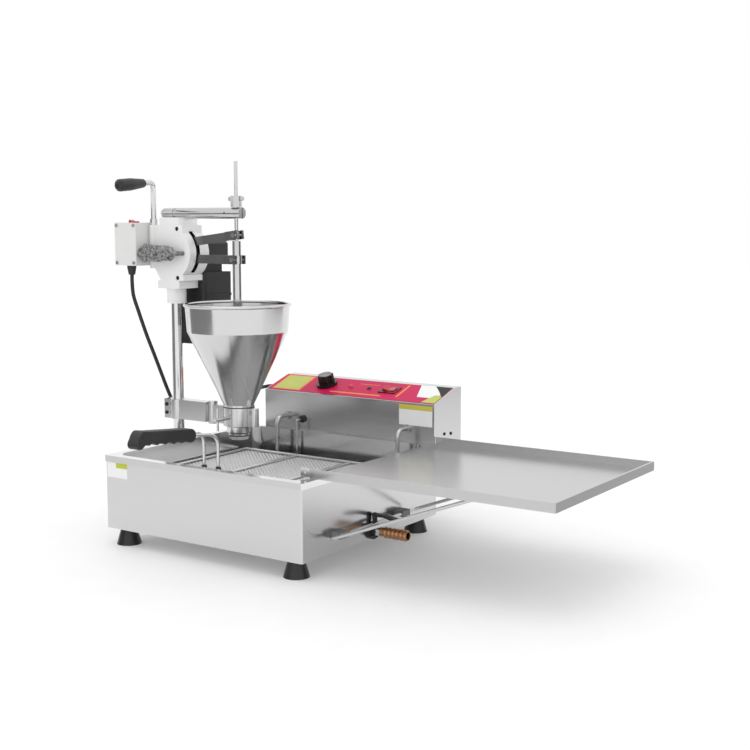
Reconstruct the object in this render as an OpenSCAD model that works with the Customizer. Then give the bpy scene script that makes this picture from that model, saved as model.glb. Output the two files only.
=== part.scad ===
// Countertop doughnut fryer: an oil pan with a lift-out screen and a drain tray,
// a control head over the back rim, and a motor-driven doughnut depositor that
// swings over the oil on a column at the left.
// Millimetres, +Z up, operator at -Y. Origin on the floor, in the middle of the whole machine.

/* [Tank] */
// Width of the tank over its rim
tank_w = 500; // [460:1:540]
// Depth of the tank over its rim
tank_d = 470; // [440:1:500]
// Height of the casing's side walls
casing_h = 147; // [140:1:165]
// Sheet thickness of the casing and the pan
sheet_t = 1.5; // [1:0.1:2]
// Width of the flat rim round the pan
rim_w = 18; // [15:1:22]
// Depth of the rim's turned-down lip
lip_h = 12; // [8:1:16]
// Depth of the oil pan below its rim
pan_depth = 112; // [104:1:116]
// Corner radius of the oil pan
pan_r = 28; // [18:1:36]
// Height of the rubber feet
foot_h = 34; // [28:1:45]
// Diameter of a foot at the floor
foot_d = 50; // [42:1:56]

/* [Control head] */
// Width of the control head
ctl_w = 453; // [420:1:460]
// Depth of the control head
ctl_d = 110; // [100:1:130]
// Height of the control head's front face above the rim
ctl_face_h = 85; // [75:1:100]
// Rise of the sloped panel from front to back
ctl_rise = 27; // [20:1:40]
// Depth of the sloped panel
ctl_slope_d = 85; // [80:1:90]
// Diameter of the temperature knob's skirt
knob_d = 48; // [40:1:55]
// Height of the temperature knob
knob_h = 24; // [18:1:30]

/* [Frying screen] */
// Height of the frying screen above the pan's floor
screen_z = 66; // [55:1:72]
// Diameter of the screen's frame rods
rod_d = 6; // [5:0.5:7]
// Pitch of the screen's net
net_pitch = 26; // [24:1:40]
// Height of the handle's wires above the screen
handle_rise = 110; // [95:1:120]
// Length of the screen's black grip
grip_l = 160; // [140:1:180]

/* [Drain tray] */
// Reach of the tray past the tank's rim
tray_reach = 475; // [400:1:520]
// Distance from the tank's front to the tray's front
tray_front = 48; // [40:1:60]
// Height of the tray's upright rims
tray_rim_h = 17; // [12:1:22]
// Diameter of the brace's wire
brace_d = 6.5; // [6:0.5:8]

/* [Drain valve] */
// Height of the drain's axis above the floor
drain_z = 51; // [49:0.5:53]
// Bore of the drain's pipe and spout
drain_bore = 15; // [12:0.5:16]
// Length of the ribbed spout
spout_l = 60; // [45:1:75]
// Largest diameter of the ribbed spout
spout_d = 22; // [20:0.5:24]

/* [Depositor] */
// Diameter of the column
col_d = 24; // [22:0.5:25]
// Distance from the column's axis to the hopper's axis
arm_reach = 170; // [165:1:190]
// Height of the lower arm's underside above the floor
arm_z = 226; // [220:1:235]
// Diameter of the hopper's mouth
hopper_d = 224; // [180:1:230]
// Height of the hopper's mouth above the floor
hopper_z = 481; // [440:1:490]
// Wall of the hopper
hopper_t = 1.5; // [1:0.1:2.5]
// Bore of the nozzle cylinder
nozzle_bore = 38; // [34:0.5:39]
// Radius of the gear housing's drum
drum_r = 56; // [54:0.5:60]
// Height of the drum's axis above the floor
drum_z = 582; // [575:1:590]
// Upper lever's rise from level at rest, in degrees
upper_rest_a = 7; // [6:0.5:8]
// Upper lever's further rise over the stroke, in degrees
upper_stroke_a = 5; // [3:0.5:5]
// Lower lever's fall over the stroke, in degrees
lower_stroke_a = 7; // [5:0.5:7]
// Diameter of the plunger's rod
rod_plunger_d = 8; // [6:0.5:9]
// Diameter of the plunger's tube
tube_d = 18; // [16:0.5:20]
// Diameter of the guide arm's round bar
guide_d = 23; // [20:0.5:25]

/* [Hidden] */
$fn = 64;
// Overrun of every cut past the face that it opens
over = 1;
// Clearance between faces of pieces that move past each other
fit_gap = 0.3;
// Radial clearance of a running or sliding fit
run_gap = 0.06;
// Radial clearance of pieces that are fixed together
seat_gap = 0.05;
// Radial clearance of a bolt in its hole
bolt_gap = 0.25;

// Tank values
casing_r = 4;
rim_r = 4;
lip_step = sheet_t + fit_gap;
casing_w = tank_w - 2 * lip_step;
casing_d = tank_d - 2 * lip_step;
casing_x = casing_w / 2;
casing_top = foot_h + casing_h;
rim_z = casing_top + sheet_t;
pan_w = tank_w - 2 * rim_w;
pan_d = tank_d - 2 * rim_w;
pan_floor = rim_z - pan_depth;
pan_under = pan_floor - sheet_t;
foot_inset_x = 36;
foot_inset_front = 29;
foot_inset_back = 31;
foot_top_share = 0.62;
foot_recess_d = 20;
foot_recess_h = 14;
foot_bolt_d = 6;
foot_head_d = 14;
foot_head_h = 4;
foot_nut_d = 12;
foot_nut_h = 5;
foot_xs = [-tank_w / 2 + foot_inset_x, tank_w / 2 - foot_inset_x];
foot_ys = [foot_inset_front, tank_d - foot_inset_back];

// Control head values
ctl_x = 17;
ctl_t = 1.5;
ctl_lap = 6;
ctl_y0 = tank_d - ctl_lap;
ctl_y1 = ctl_y0 + ctl_d;
ctl_drop = 72;
ctl_z0 = rim_z;
ctl_z_low = rim_z - ctl_drop;
ctl_back_gap = 0.5;
ctl_hang_y = tank_d + ctl_back_gap;
ctl_z1 = rim_z + ctl_face_h;
ctl_z2 = ctl_z1 + ctl_rise;
ctl_slope_a = atan2(ctl_rise, ctl_slope_d);
ctl_slope_l = norm([ctl_slope_d, ctl_rise]);
ctl_flange = 12;
cover_bolt_d = 4;
cover_head_d = 8;
cover_head_h = 2.5;
cover_bolt_l = 8;
overlay_t = 0.6;
overlay_edge = 3;
// Places across the panel, from the head's middle, and up its slope
knob_u = -84;
lamp_us = [-18, 31];
switch_u = 85;
panel_v = 48;
knob_stem_d = 6;
knob_cap_d = 36;
knob_lift = 0.6;
knob_skirt_h = 6;
knob_well_d = 20;
knob_well_h = 5;
knob_flutes = 8;
knob_flute_d = 8;
knob_mark_w = 3;
knob_mark_h = 0.8;
lamp_d = 11;
lamp_neck_d = 8;
lamp_neck_l = 16;
lamp_h = 4;
bezel_w = 44;
bezel_l = 30;
bezel_h = 3;
bezel_wall = 3;
bezel_depth = 16;
rocker_a = 9;
rocker_dip = 8;
rocker_proud = 5;
rocker_waist = 2;
thermo_w = 40;
thermo_h = 26;
thermo_neck_d = 10;

// Heating element values
elem_d = 9;
elem_runs = 6;
elem_span = 322;
elem_x0 = ctl_x - elem_span / 2;
elem_pitch = elem_span / (elem_runs - 1);
elem_lift = 24;
elem_z = pan_floor + elem_lift;
elem_exit_h = 30;
elem_exit_z = rim_z + elem_exit_h;
elem_bend_r = 16;
elem_stand = 40;
elem_y1 = ctl_y0 - elem_stand;
elem_front = 62;
elem_stub = 10;
gland_d = 18;
gland_t = 5;
probe_u = 42;
probe_d = 5;
probe_tip_d = 7;
probe_tip_l = 60;
probe_out = 22;
probe_drop = 5;
probe_z = elem_exit_z - probe_drop;
probe_grommet_d = 14;

// Frying screen values
screen_gap = 10;
screen_w = pan_w - 2 * screen_gap;
screen_front_gap = 9;
screen_y0 = rim_w + screen_front_gap;
screen_back = 44;
screen_y1 = tank_d - rim_w - screen_back;
screen_d = screen_y1 - screen_y0;
screen_top = pan_floor + screen_z;
net_t = 2;
net_wire = 2;
net_z = screen_top - rod_d / 2 - net_t;
net_nx = floor(screen_w / net_pitch);
net_ny = floor(screen_d / net_pitch);
screen_ribs = 3;
handle_x = 9;
handle_gap = 36;
handle_top = screen_top + handle_rise;
handle_tilt = 5.5;
grip_root = 54;
grip_h = 26;
grip_w = 26;
grip_end_h = 34;
grip_wire_gap = 8;
grip_wire_l = 24;
handle_bend_r = 24;
sleeve_d = 11;
sleeve_l = 16;
sleeve_up = 8;
handle_reach = grip_root + grip_wire_l;
handle_spread = (handle_gap - grip_wire_gap) / 2;
handle_turn = atan2(handle_spread, handle_reach * cos(handle_tilt));
handle_a = 90 - atan(tan(handle_tilt) * cos(handle_turn));
handle_cut = handle_bend_r * tan(handle_a / 2);
handle_run = norm([handle_spread, handle_reach]) - handle_cut - 2 * seat_gap;
grip_grooves = 5;
grip_groove_r = 15;
grip_groove_cut = 3;

// Drain tray values
tray_t = 1.2;
tray_x0 = tank_w / 2 - rim_w - fit_gap - tray_t;
tray_x1 = tank_w / 2 + tray_reach;
tray_y1 = tank_d;
tray_rim_in = 19;
tray_rim_x = tank_w / 2 - tray_rim_in;
tray_hook_h = 5;
tray_hook_end = 6;
tray_hem = 4;
tray_side_gap = 1;
tray_notch_x = ctl_x + ctl_w / 2 + tray_side_gap;
tray_notch_y = tray_y1 - rim_w - pan_r - tray_hook_end;
brace_inset = 12;
brace_front = tray_front + brace_inset;
brace_back_share = 0.745;
brace_back = tray_front + (tray_y1 - tray_front) * brace_back_share;
brace_lift = 18.5;
brace_z = drain_z + brace_lift;
brace_stand = 17;
brace_bend_r = 14;
brace_x0 = casing_x + brace_stand;
brace_foot_share = 0.66;
brace_x1 = tank_w / 2 + tray_reach * brace_foot_share;
pad_l = 26;
pad_w = 12;
pad_inset = 45;
pad_ys = [brace_front + pad_inset, brace_back - pad_inset];

// Drain values
drain_y = 225;
pipe_d = 21;
sump_in = 52;
sump_x = casing_x - sump_in;
valve_d = 34;
valve_flange_l = 7;
valve_l = 15;
valve_neck_d = 25;
valve_socket_l = 8;
valve_x = casing_x;
collar_l = 9;
collar_af = 24;
spout_x = valve_x + valve_l + collar_l;
spout_ribs = 6;
spout_rib_drop = 2;
spout_root_l = 6;
// Rib profile: height above the root, then place along the pitch
rib_shares = [[0, 0.1], [1, 0.3], [1, 0.6], [0, 0.9]];
stem_in = 7.2;
stem_d = 7;
stem_x = valve_x + stem_in;
stem_h = 36;
stem_top = drain_z + stem_h;
stem_boss_d = 10;
lever_w = 12;
lever_t = 5;
lever_lift = 29.5;
lever_z = drain_z + lever_lift;
lever_l = 52;
lever_knee = 24;
lever_tip_drop = 6.5;
lever_tip_t = 7;

// Depositor's place
col_stand = 14.5;
col_x = -tank_w / 2 - col_stand;
col_y = tank_d / 2;
hop_x = col_x + arm_reach;
socket_d = 32;
socket_plate_t = 4;
socket_plate_w = 90;
socket_plate_h = 104;
socket_lift = 24;
socket_z0 = foot_h + socket_lift;
socket_floor = 6;
socket_bolt_d = 6;
socket_head_d = 11;
socket_head_h = 4;
socket_bolt_dy = 34;
socket_bolt_in = 18;
socket_bolt_zs = [socket_z0 + socket_bolt_in, socket_z0 + socket_plate_h - socket_bolt_in];

// Lower arm and nozzle values
boss_d = 36;
boss_h = 42;
arm_t = 26;
arm_l = 88;
clamp_l = 29;
clamp_w = 28;
clamp_slit = 3;
clamp_bolt_d = 6;
clamp_head_d = 8.5;
clamp_head_h = 5;
clamp_bolt_x = 22;
clamp_bolt_in = 12;
clamp_bolt_zs = [arm_z + clamp_bolt_in, arm_z + boss_h - clamp_bolt_in];
ring_d = 66;
ring_h = 38;
ear_d = 18;
ear_x = (ring_d + ear_d) / 2;
nozzle_d = 44;
nozzle_z0 = 197;
nozzle_lip_d = 40;
nozzle_step = 14;
nozzle_foot_h = 7;
screw_d = 8;
screw_l = 54;
screw_z = arm_z + ring_h / 2;
screw_bar_d = 5;
screw_bar_l = 46;
screw_bar_in = 9;
knuckle_d = 20;
knuckle_over = 3;
web_t = 16;

// Hopper values
neck_d = 64;
neck_z0 = arm_z + ring_h;
neck_h = 6;
shoulder_drop = 58;
shoulder_in = 7;
roll_d = 7;

// Gear housing values, measured from the column's axis
drum_x = 8;
wall = 6;
plate_t = 4;
slot_w = 12;
lever_bar_t = 6;
front_t = 20;
rear_t = 40;
front_y0 = -slot_w / 2 - front_t;
seam_y = -slot_w / 2;
rear_y1 = seam_y + rear_t;
cav_y0 = front_y0 + plate_t;
cav_y1 = rear_y1 - plate_t;
house_x0 = -45;
lug_in = 20;
lug_x1 = drum_x + drum_r - lug_in;
lug_h = 16;
lug_low_h = 12;
house_over = 3;
house_under = 2;
house_top = drum_z + drum_r + house_over;
house_bottom = drum_z - drum_r - house_under;
chamfer_x = 25;
chamfer_z = 38;
cap_h = 16;
cap_x0 = -21;
cap_in = 11;
cap_x1 = lug_x1 - cap_in;
base_h = 17;
base_x0 = -29;
base_x1 = 32;
base_z = house_bottom - base_h;
collar_d = 42;
neck_len = 32;
slot_down = 41;
slot_up = 47;
slot_z0 = drum_z - slot_down;
slot_z1 = drum_z + slot_up;
slot_x0 = 40;
cover_screw_d = 6;
cover_cap_d = 9;
cover_cap_h = 6;
cover_sink = 1;
cover_right = 20;
cover_places = [
    [drum_x + cover_right, house_top - lug_h / 2], [drum_x + cover_right, house_bottom + lug_low_h / 2]];
post_d = 20;
post_x = house_x0;
post_set = 12;
post_y = seam_y - post_set;
post_h = 92;
post_z = house_top - post_h;

// Levers and camshaft, measured from the column's axis
pivot_x = -28;
lever_len = arm_reach - pivot_x;
lever_h = 18;
upper_fork_rise = 38.5;
lower_fork_drop = 12;
upper_fork_z = drum_z + upper_fork_rise;
lower_fork_z = drum_z - lower_fork_drop;
upper_pivot_z = upper_fork_z - lever_len * tan(upper_rest_a);
lower_pivot_z = lower_fork_z;
pivot_d = 8;
pivot_collar_d = 14;
pivot_collar_t = 3;
shaft_d = 9;
shaft_run = 44;
shaft_x = pivot_x + shaft_run;
shaft_z = (upper_pivot_z + shaft_run * tan(upper_rest_a) + lower_pivot_z) / 2;
roller_rise = 13;
roller_r = 7;
ear_r = 8;
cam_gap = 0.4;
cam_t = 8;
cam_y = 7;
cam_steps = 36;
shaft_end = 2;
shaft_out = 14;
bearing_d = 18;
trunnion_d = 6;
trunnion_slack = 0.5;
trunnion_run = 4;
tine_t = 4;
tine_reach = 10;
tine_root = 18;
upper_hub_d = 13;
lower_hub_d = 22;
hub_h = 16;
hub_gap = 1;
pin_head_d = 10;
pin_head_t = 2;

// Plunger values
disc_d = 30;
disc_h = 5;
disc_lift = 2;
piston_h = 12;
piston_lift = 54;
piston_z = nozzle_z0 + piston_lift;
tube_gap = 3;
tube_top = upper_fork_z - lever_h / 2 - tube_gap;
stop_d = 24;
stop_h = 23;
stop_gap = 0.6;
stop_over = 70;
stop_screw_d = 6;
stop_screw_l = 6;
stop_wing_d = 9;
stop_wing_t = 4;
stop_wing_drop = 6;

// Guide arm values, and the depth stop above its end
saddle_sink = 3;
guide_z = house_top + cap_h + guide_d / 2 - saddle_sink;
guide_x0 = -28;
guide_tip = 5;
guide_end = 16;
guide_groove_x = 2;
guide_groove_l = 9;
guide_groove_cut = 1.2;
guide_slit = 2;
guide_set_d = 5;
guide_set_x = 23;
saddle_gap = 0.1;
stop_z = guide_z + guide_d / 2 + stop_gap;
plunger_top = stop_z + stop_h + stop_over;

// Motor values, measured from the column's axis
motor_set = 12;
motor_x = shaft_x - motor_set;
motor_w = 90;
motor_y0 = rear_y1;
motor_d = 92;
motor_drop = 42;
motor_l = 155;
motor_top = drum_z - motor_drop;
motor_z0 = motor_top - motor_l;
motor_r = 8;
motor_band_drop = 52;
motor_band_z = motor_top - motor_band_drop;
motor_band_h = 5;
motor_band_step = 2;
head_w = 80;
head_d = 84;
head_low = 26;
head_high = 28;
head_z0 = drum_z - head_low;
head_z1 = drum_z + head_high;
head_chamfer = 9;
head_neck_w = 60;

// Switch box values, measured from the column's axis
box_w = 62;
box_x1 = post_x - post_d / 2;
box_x0 = box_x1 - box_w;
box_y0 = -63;
box_d = 52;
box_drop = 27;
box_z0 = drum_z - box_drop;
box_h = 91;
box_t = 2.5;
lid_t = 2.5;
lid_bolt_d = 4;
lid_head_d = 7;
lid_head_h = 2;
lid_bolt_l = 10;
lid_inset = 6;
lid_post_d = 10;
top_rocker_w = 22;
top_rocker_l = 14;
top_rocker_x = box_x0 + box_w / 2;
top_rocker_y = box_y0 + box_d / 2;
top_rocker_a = 10;
top_rocker_dip = 6;
gland_in_x = 26.5;
gland_in_y = 22;
gland_x = box_x0 + gland_in_x;
gland_y = box_y0 + gland_in_y;
cord_d = 8;
cord_gland_d = 20;
cord_gland_h = 20;
cord_gland_tip_d = 14;
cord_gland_neck = 4;

// Conduit values, measured from the column's axis
conduit_d = 27;
conduit_bore = 7;
conduit_rib = 3.5;
conduit_ribs = 8;
conduit_z = drum_z;
conduit_y = -47;
conduit_nut_d = 29;
conduit_nut_l = 5;
conduit_cone_l = 24;
conduit_elbow_d = 11;
conduit_x1 = 44;

// Swing handle values, measured from the column's axis
swing_d = 12;
swing_rise = 90;
swing_top = house_top + swing_rise;
swing_stub = 28;
swing_droop = 5;
swing_bend_r = 10;
swing_cut = swing_bend_r * tan(45 + swing_droop / 2);
swing_grip_l = 78;
swing_grip_d = 26;
swing_grip_root_d = 18;
swing_sink = 46;
swing_collar_d = 17;
swing_collar_h = 13;

// Route of the cord from the switch box to the control head, in the tank's frame
cord_route = [
    [-355, 194, 535], [-355, 194, 517], [-354, 196, 490], [-347, 202, 458], [-335, 213, 406],
    [-326, 226, 362], [-320, 240, 321], [-317, 254, 286], [-317, 269, 259], [-316, 287, 238],
    [-312, 308, 225], [-305, 332, 218], [-297, 358, 217], [-287, 386, 223], [-277, 414, 232],
    [-268, 439, 243], [-261, 462, 253], [-256, 484, 260], [-250, 502, 264], [-243, 514, 266],
    [-234, 523, 267], [-225, 528, 268], [-216, 530, 268], [-208, 530, 268]];
cord_sides = 10;

// A bent wire swells a little in its bend, and its straight runs reach into the bend
bend_swell = 0.15;
bend_lap = 0.5;

// Middle of the whole machine on the floor
machine_x0 = col_x + box_x0;
machine_x1 = tray_x1;
grip_tip_y = screen_y0 - (grip_root + grip_l) * cos(handle_tilt);
machine_y1 = ctl_y1 + ctl_t + cover_head_h;
datum = [(machine_x0 + machine_x1) / 2, (grip_tip_y + machine_y1) / 2, 0];

// Frames that pieces are drawn in
module at_datum() translate(-datum) children();
module at_column() at_datum() translate([col_x, col_y, 0]) children();
module at_hopper() at_datum() translate([hop_x, col_y, 0]) children();
module on_panel(u, v) at_datum() translate([ctl_x, ctl_y0, ctl_z1]) rotate([ctl_slope_a, 0, 0])
    translate([u, v, 0]) children();

// Shapes that repeat
module block(lo, hi) translate(lo) cube(hi - lo);
module rounded_rect(w, d, r) {
    square([w - 2 * r, d], center = true);
    square([w, d - 2 * r], center = true);
    for (x = [-1, 1], y = [-1, 1]) translate([x * (w / 2 - r), y * (d / 2 - r)]) circle(r);
}
module rounded_block(w, d, h, r) linear_extrude(h) rounded_rect(w, d, r);
module along_x() rotate([0, 90, 0]) children();
module along_y() rotate([-90, 0, 0]) children();
module wire(p, q, d) {
    v = q - p;
    translate(p) rotate([0, acos(v.z / norm(v)), atan2(v.y, v.x)]) cylinder(h = norm(v), d = d);
}
module bent_wire(points, d) {
    for (i = [0 : len(points) - 2]) wire(points[i], points[i + 1], d);
    for (i = [1 : len(points) - 2]) translate(points[i]) sphere(d = d);
}
// A wire that stands up, bends over towards -Y by an angle, and runs on
module crook(h, r, a, l, d) {
    cylinder(h = h + bend_lap, d = d);
    translate([0, -r, h]) rotate([90, 0, 90]) rotate_extrude(angle = a)
        translate([r, 0]) circle(d = d + 2 * bend_swell);
    translate([0, r * (cos(a) - 1), h + r * sin(a)]) rotate([a, 0, 0])
        translate([0, 0, -bend_lap]) cylinder(h = l + bend_lap, d = d);
}
// Extrudes an outline drawn in X and Z over a stretch of Y
module across_y(y0, y1) translate([0, y1, 0]) rotate([90, 0, 0]) linear_extrude(y1 - y0) children();
// Extrudes an outline drawn in Y and Z over a stretch of X
module across_x(x0, x1) translate([x0, 0, 0]) rotate([90, 0, 90]) linear_extrude(x1 - x0) children();

// Tank
module outer_casing() color("silver") at_datum() translate([0, tank_d / 2, 0]) difference() {
    translate([0, 0, foot_h]) rounded_block(casing_w, casing_d, casing_h, casing_r);
    translate([0, 0, foot_h + sheet_t])
        rounded_block(casing_w - 2 * sheet_t, casing_d - 2 * sheet_t, casing_h, casing_r - sheet_t);
    for (x = foot_xs, y = foot_ys) translate([x, y - tank_d / 2, foot_h - over])
        cylinder(h = sheet_t + 2 * over, d = foot_bolt_d + 2 * bolt_gap);
    translate([casing_x - sheet_t - over, drain_y - tank_d / 2, drain_z]) along_x()
        cylinder(h = sheet_t + 2 * over, d = pipe_d + 2 * bolt_gap);
    for (y = [-1, 1], z = socket_bolt_zs) translate([-casing_x - over, y * socket_bolt_dy, z]) along_x()
        cylinder(h = sheet_t + 2 * over, d = socket_bolt_d + 2 * bolt_gap);
}

module pan_outside() translate([0, 0, pan_under])
    rounded_block(pan_w + 2 * sheet_t, pan_d + 2 * sheet_t, pan_depth + sheet_t, pan_r + sheet_t);

module oil_pan() color("gainsboro") at_datum() translate([0, tank_d / 2, 0]) difference() {
    union() {
        translate([0, 0, rim_z - lip_h]) rounded_block(tank_w, tank_d, lip_h, rim_r);
        pan_outside();
    }
    translate([0, 0, pan_floor]) rounded_block(pan_w, pan_d, pan_depth + over, pan_r);
    difference() {
        translate([0, 0, rim_z - lip_h - over])
            rounded_block(tank_w - 2 * sheet_t, tank_d - 2 * sheet_t, lip_h - sheet_t + over,
                rim_r - sheet_t);
        pan_outside();
    }
    translate([sump_x, drain_y - tank_d / 2, pan_under - over])
        cylinder(h = sheet_t + 2 * over, d = drain_bore);
}

module rubber_feet() color("black") at_datum() for (x = foot_xs, y = foot_ys) translate([x, y, 0])
    difference() {
        cylinder(h = foot_h, d1 = foot_d, d2 = foot_d * foot_top_share);
        translate([0, 0, -over]) cylinder(h = foot_recess_h + over, d = foot_recess_d);
        cylinder(h = foot_h + over, d = foot_bolt_d + 2 * bolt_gap);
    }

module foot_screws() color("silver") at_datum() for (x = foot_xs, y = foot_ys) translate([x, y, 0]) {
    translate([0, 0, foot_recess_h - foot_head_h]) cylinder(h = foot_head_h, d = foot_head_d);
    translate([0, 0, foot_recess_h - foot_head_h])
        cylinder(h = foot_h + sheet_t + foot_nut_h - foot_recess_h + foot_head_h, d = foot_bolt_d);
    translate([0, 0, foot_h + sheet_t]) cylinder(h = foot_nut_h, d = foot_nut_d, $fn = 6);
}

// Control head, a bent shell that hooks over the tank's back rim
module ctl_outline(t) polygon([
    [ctl_y0 + t, ctl_z0 + t], [ctl_y0 + t, ctl_z1 - t * tan(ctl_slope_a / 2)],
    [ctl_y0 + ctl_slope_d, ctl_z2 - t], [ctl_y1 + over * sign(t), ctl_z2 - t],
    [ctl_y1 + over * sign(t), ctl_z_low + t], [ctl_hang_y + t, ctl_z_low + t],
    [ctl_hang_y + t, ctl_z0 + t]]);

module control_housing() color("silver") {
    difference() {
        at_datum() across_x(ctl_x - ctl_w / 2, ctl_x + ctl_w / 2) ctl_outline(0);
        at_datum() across_x(ctl_x - ctl_w / 2 + ctl_t, ctl_x + ctl_w / 2 - ctl_t) ctl_outline(ctl_t);
        for (x = elem_ends()) at_datum() translate([x, ctl_y0 - over, elem_exit_z]) along_y()
            cylinder(h = ctl_t + 2 * over, d = gland_d - gland_t);
        at_datum() translate([elem_x0 + probe_u, ctl_y0 - over, probe_z]) along_y()
            cylinder(h = ctl_t + 2 * over, d = probe_grommet_d - gland_t);
        on_panel(knob_u, panel_v) translate([0, 0, -ctl_t - over])
            cylinder(h = ctl_t + 2 * over, d = thermo_neck_d + 2 * bolt_gap);
        for (u = lamp_us) on_panel(u, panel_v) translate([0, 0, -ctl_t - over])
            cylinder(h = ctl_t + 2 * over, d = lamp_neck_d + 2 * bolt_gap);
        on_panel(switch_u, panel_v) translate([0, 0, -ctl_t]) bezel_body(bolt_gap, ctl_t + over);
        at_datum() translate([ctl_x - ctl_w / 2 - over, cord_end().y, cord_end().z]) along_x()
            cylinder(h = ctl_t + 2 * over, d = cord_d + 2 * bolt_gap);
    }
    // Turned-in flanges that the back cover is screwed to
    difference() {
        at_datum() for (s = [-1, 1]) translate([ctl_x + s * (ctl_w / 2 - ctl_t - ctl_flange / 2), 0, 0])
            block([-ctl_flange / 2, ctl_y1 - ctl_t, ctl_z_low + ctl_t],
                [ctl_flange / 2, ctl_y1, ctl_z2 - ctl_t]);
        cover_bolts(over, cover_bolt_d + 2 * bolt_gap);
    }
}
function elem_ends() = [elem_x0, elem_x0 + elem_span];
function cord_end() = cord_route[len(cord_route) - 1];

module cover_bolts(extra, d) at_datum()
    for (s = [-1, 1], z = [ctl_z_low + 2 * ctl_flange, ctl_z2 - 2 * ctl_flange])
        translate([ctl_x + s * (ctl_w / 2 - ctl_t - ctl_flange / 2), ctl_y1 + ctl_t + extra, z])
            rotate([90, 0, 0]) cylinder(h = cover_bolt_l + extra, d = d);

module control_back_cover() color("silver") difference() {
    at_datum() block([ctl_x - ctl_w / 2, ctl_y1, ctl_z_low], [ctl_x + ctl_w / 2, ctl_y1 + ctl_t, ctl_z2]);
    cover_bolts(over, cover_bolt_d + 2 * bolt_gap);
}

module control_screws() color("silver") {
    cover_bolts(0, cover_bolt_d);
    at_datum() for (s = [-1, 1], z = [ctl_z_low + 2 * ctl_flange, ctl_z2 - 2 * ctl_flange])
        translate([ctl_x + s * (ctl_w / 2 - ctl_t - ctl_flange / 2), ctl_y1 + ctl_t, z]) along_y()
            cylinder(h = cover_head_h, d = cover_head_d);
}

module panel_overlay() color("crimson") difference() {
    on_panel(0, 0) translate([-ctl_w / 2 + overlay_edge, overlay_edge, 0])
        cube([ctl_w - 2 * overlay_edge, ctl_slope_l - 2 * overlay_edge, overlay_t]);
    on_panel(knob_u, panel_v) cylinder(h = overlay_t + over, d = knob_well_d);
    for (u = lamp_us) on_panel(u, panel_v) cylinder(h = overlay_t + over, d = lamp_d + 2 * bolt_gap);
    on_panel(switch_u, panel_v) translate([-bezel_w / 2 - bolt_gap, -bezel_l / 2 - bolt_gap, 0])
        cube([bezel_w + 2 * bolt_gap, bezel_l + 2 * bolt_gap, overlay_t + over]);
}

module thermostat() color("dimgray") on_panel(knob_u, panel_v) {
    translate([-thermo_w / 2, -thermo_w / 2, -ctl_t - thermo_h]) cube([thermo_w, thermo_w, thermo_h]);
    translate([0, 0, -ctl_t - over]) cylinder(h = ctl_t + over, d = thermo_neck_d);
    cylinder(h = knob_h - knob_well_h, d = knob_stem_d);
}

module temperature_knob() color("black") on_panel(knob_u, panel_v) translate([0, 0, overlay_t + knob_lift])
    difference() {
        union() {
            cylinder(h = knob_skirt_h, d = knob_d);
            cylinder(h = knob_h, d = knob_cap_d);
        }
        for (i = [0.5 : knob_flutes]) rotate([0, 0, 90 + 360 * i / knob_flutes])
            translate([knob_cap_d / 2, 0, knob_skirt_h]) cylinder(h = knob_h, d = knob_flute_d);
        translate([0, 0, -over]) cylinder(h = knob_h - knob_well_h + over, d = knob_stem_d + 2 * run_gap);
        translate([-knob_mark_w / 2, 0, knob_h - knob_mark_h])
            cube([knob_mark_w, knob_cap_d, knob_mark_h + over]);
    }

module indicator_lamps() color("red") for (u = lamp_us) on_panel(u, panel_v) {
    cylinder(h = lamp_h, d1 = lamp_d, d2 = lamp_neck_d);
    translate([0, 0, -lamp_neck_l]) cylinder(h = lamp_neck_l + over, d = lamp_neck_d);
}

// Body of the rocker switch below the panel, grown by a clearance
module bezel_body(grow, h) translate([-bezel_w / 2 + bezel_wall - grow, -bezel_l / 2 + bezel_wall - grow, 0])
    cube([bezel_w - 2 * bezel_wall + 2 * grow, bezel_l - 2 * bezel_wall + 2 * grow, h]);

module main_switch_bezel() color("black") on_panel(switch_u, panel_v) difference() {
    union() {
        translate([-bezel_w / 2, -bezel_l / 2, 0]) cube([bezel_w, bezel_l, bezel_h]);
        translate([0, 0, -bezel_depth]) bezel_body(0, bezel_depth + over);
    }
    translate([0, 0, bezel_h - rocker_dip]) linear_extrude(rocker_dip + over)
        square([bezel_w - 4 * bezel_wall, bezel_l - 4 * bezel_wall], center = true);
}

module main_rocker() color("red") on_panel(switch_u, panel_v)
    rocker(bezel_w - 4 * bezel_wall, bezel_l - 4 * bezel_wall, rocker_a, bezel_h, rocker_dip);

// A rocker tipped about the floor of its opening, waisted across the middle of its top
module rocker(w, l, tip, top, dip) translate([0, 0, top - dip]) rotate([0, tip, 0])
    across_y(-l / 2 + fit_gap, l / 2 - fit_gap) {
        half = (w / 2 - fit_gap - dip * tan(tip)) * cos(tip);
        foot = half * tan(tip) + fit_gap;
        polygon([[-half, foot], [half, foot], [half, dip + rocker_proud], [0, dip + rocker_waist],
            [-half, dip + rocker_proud]]);
    }

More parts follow.
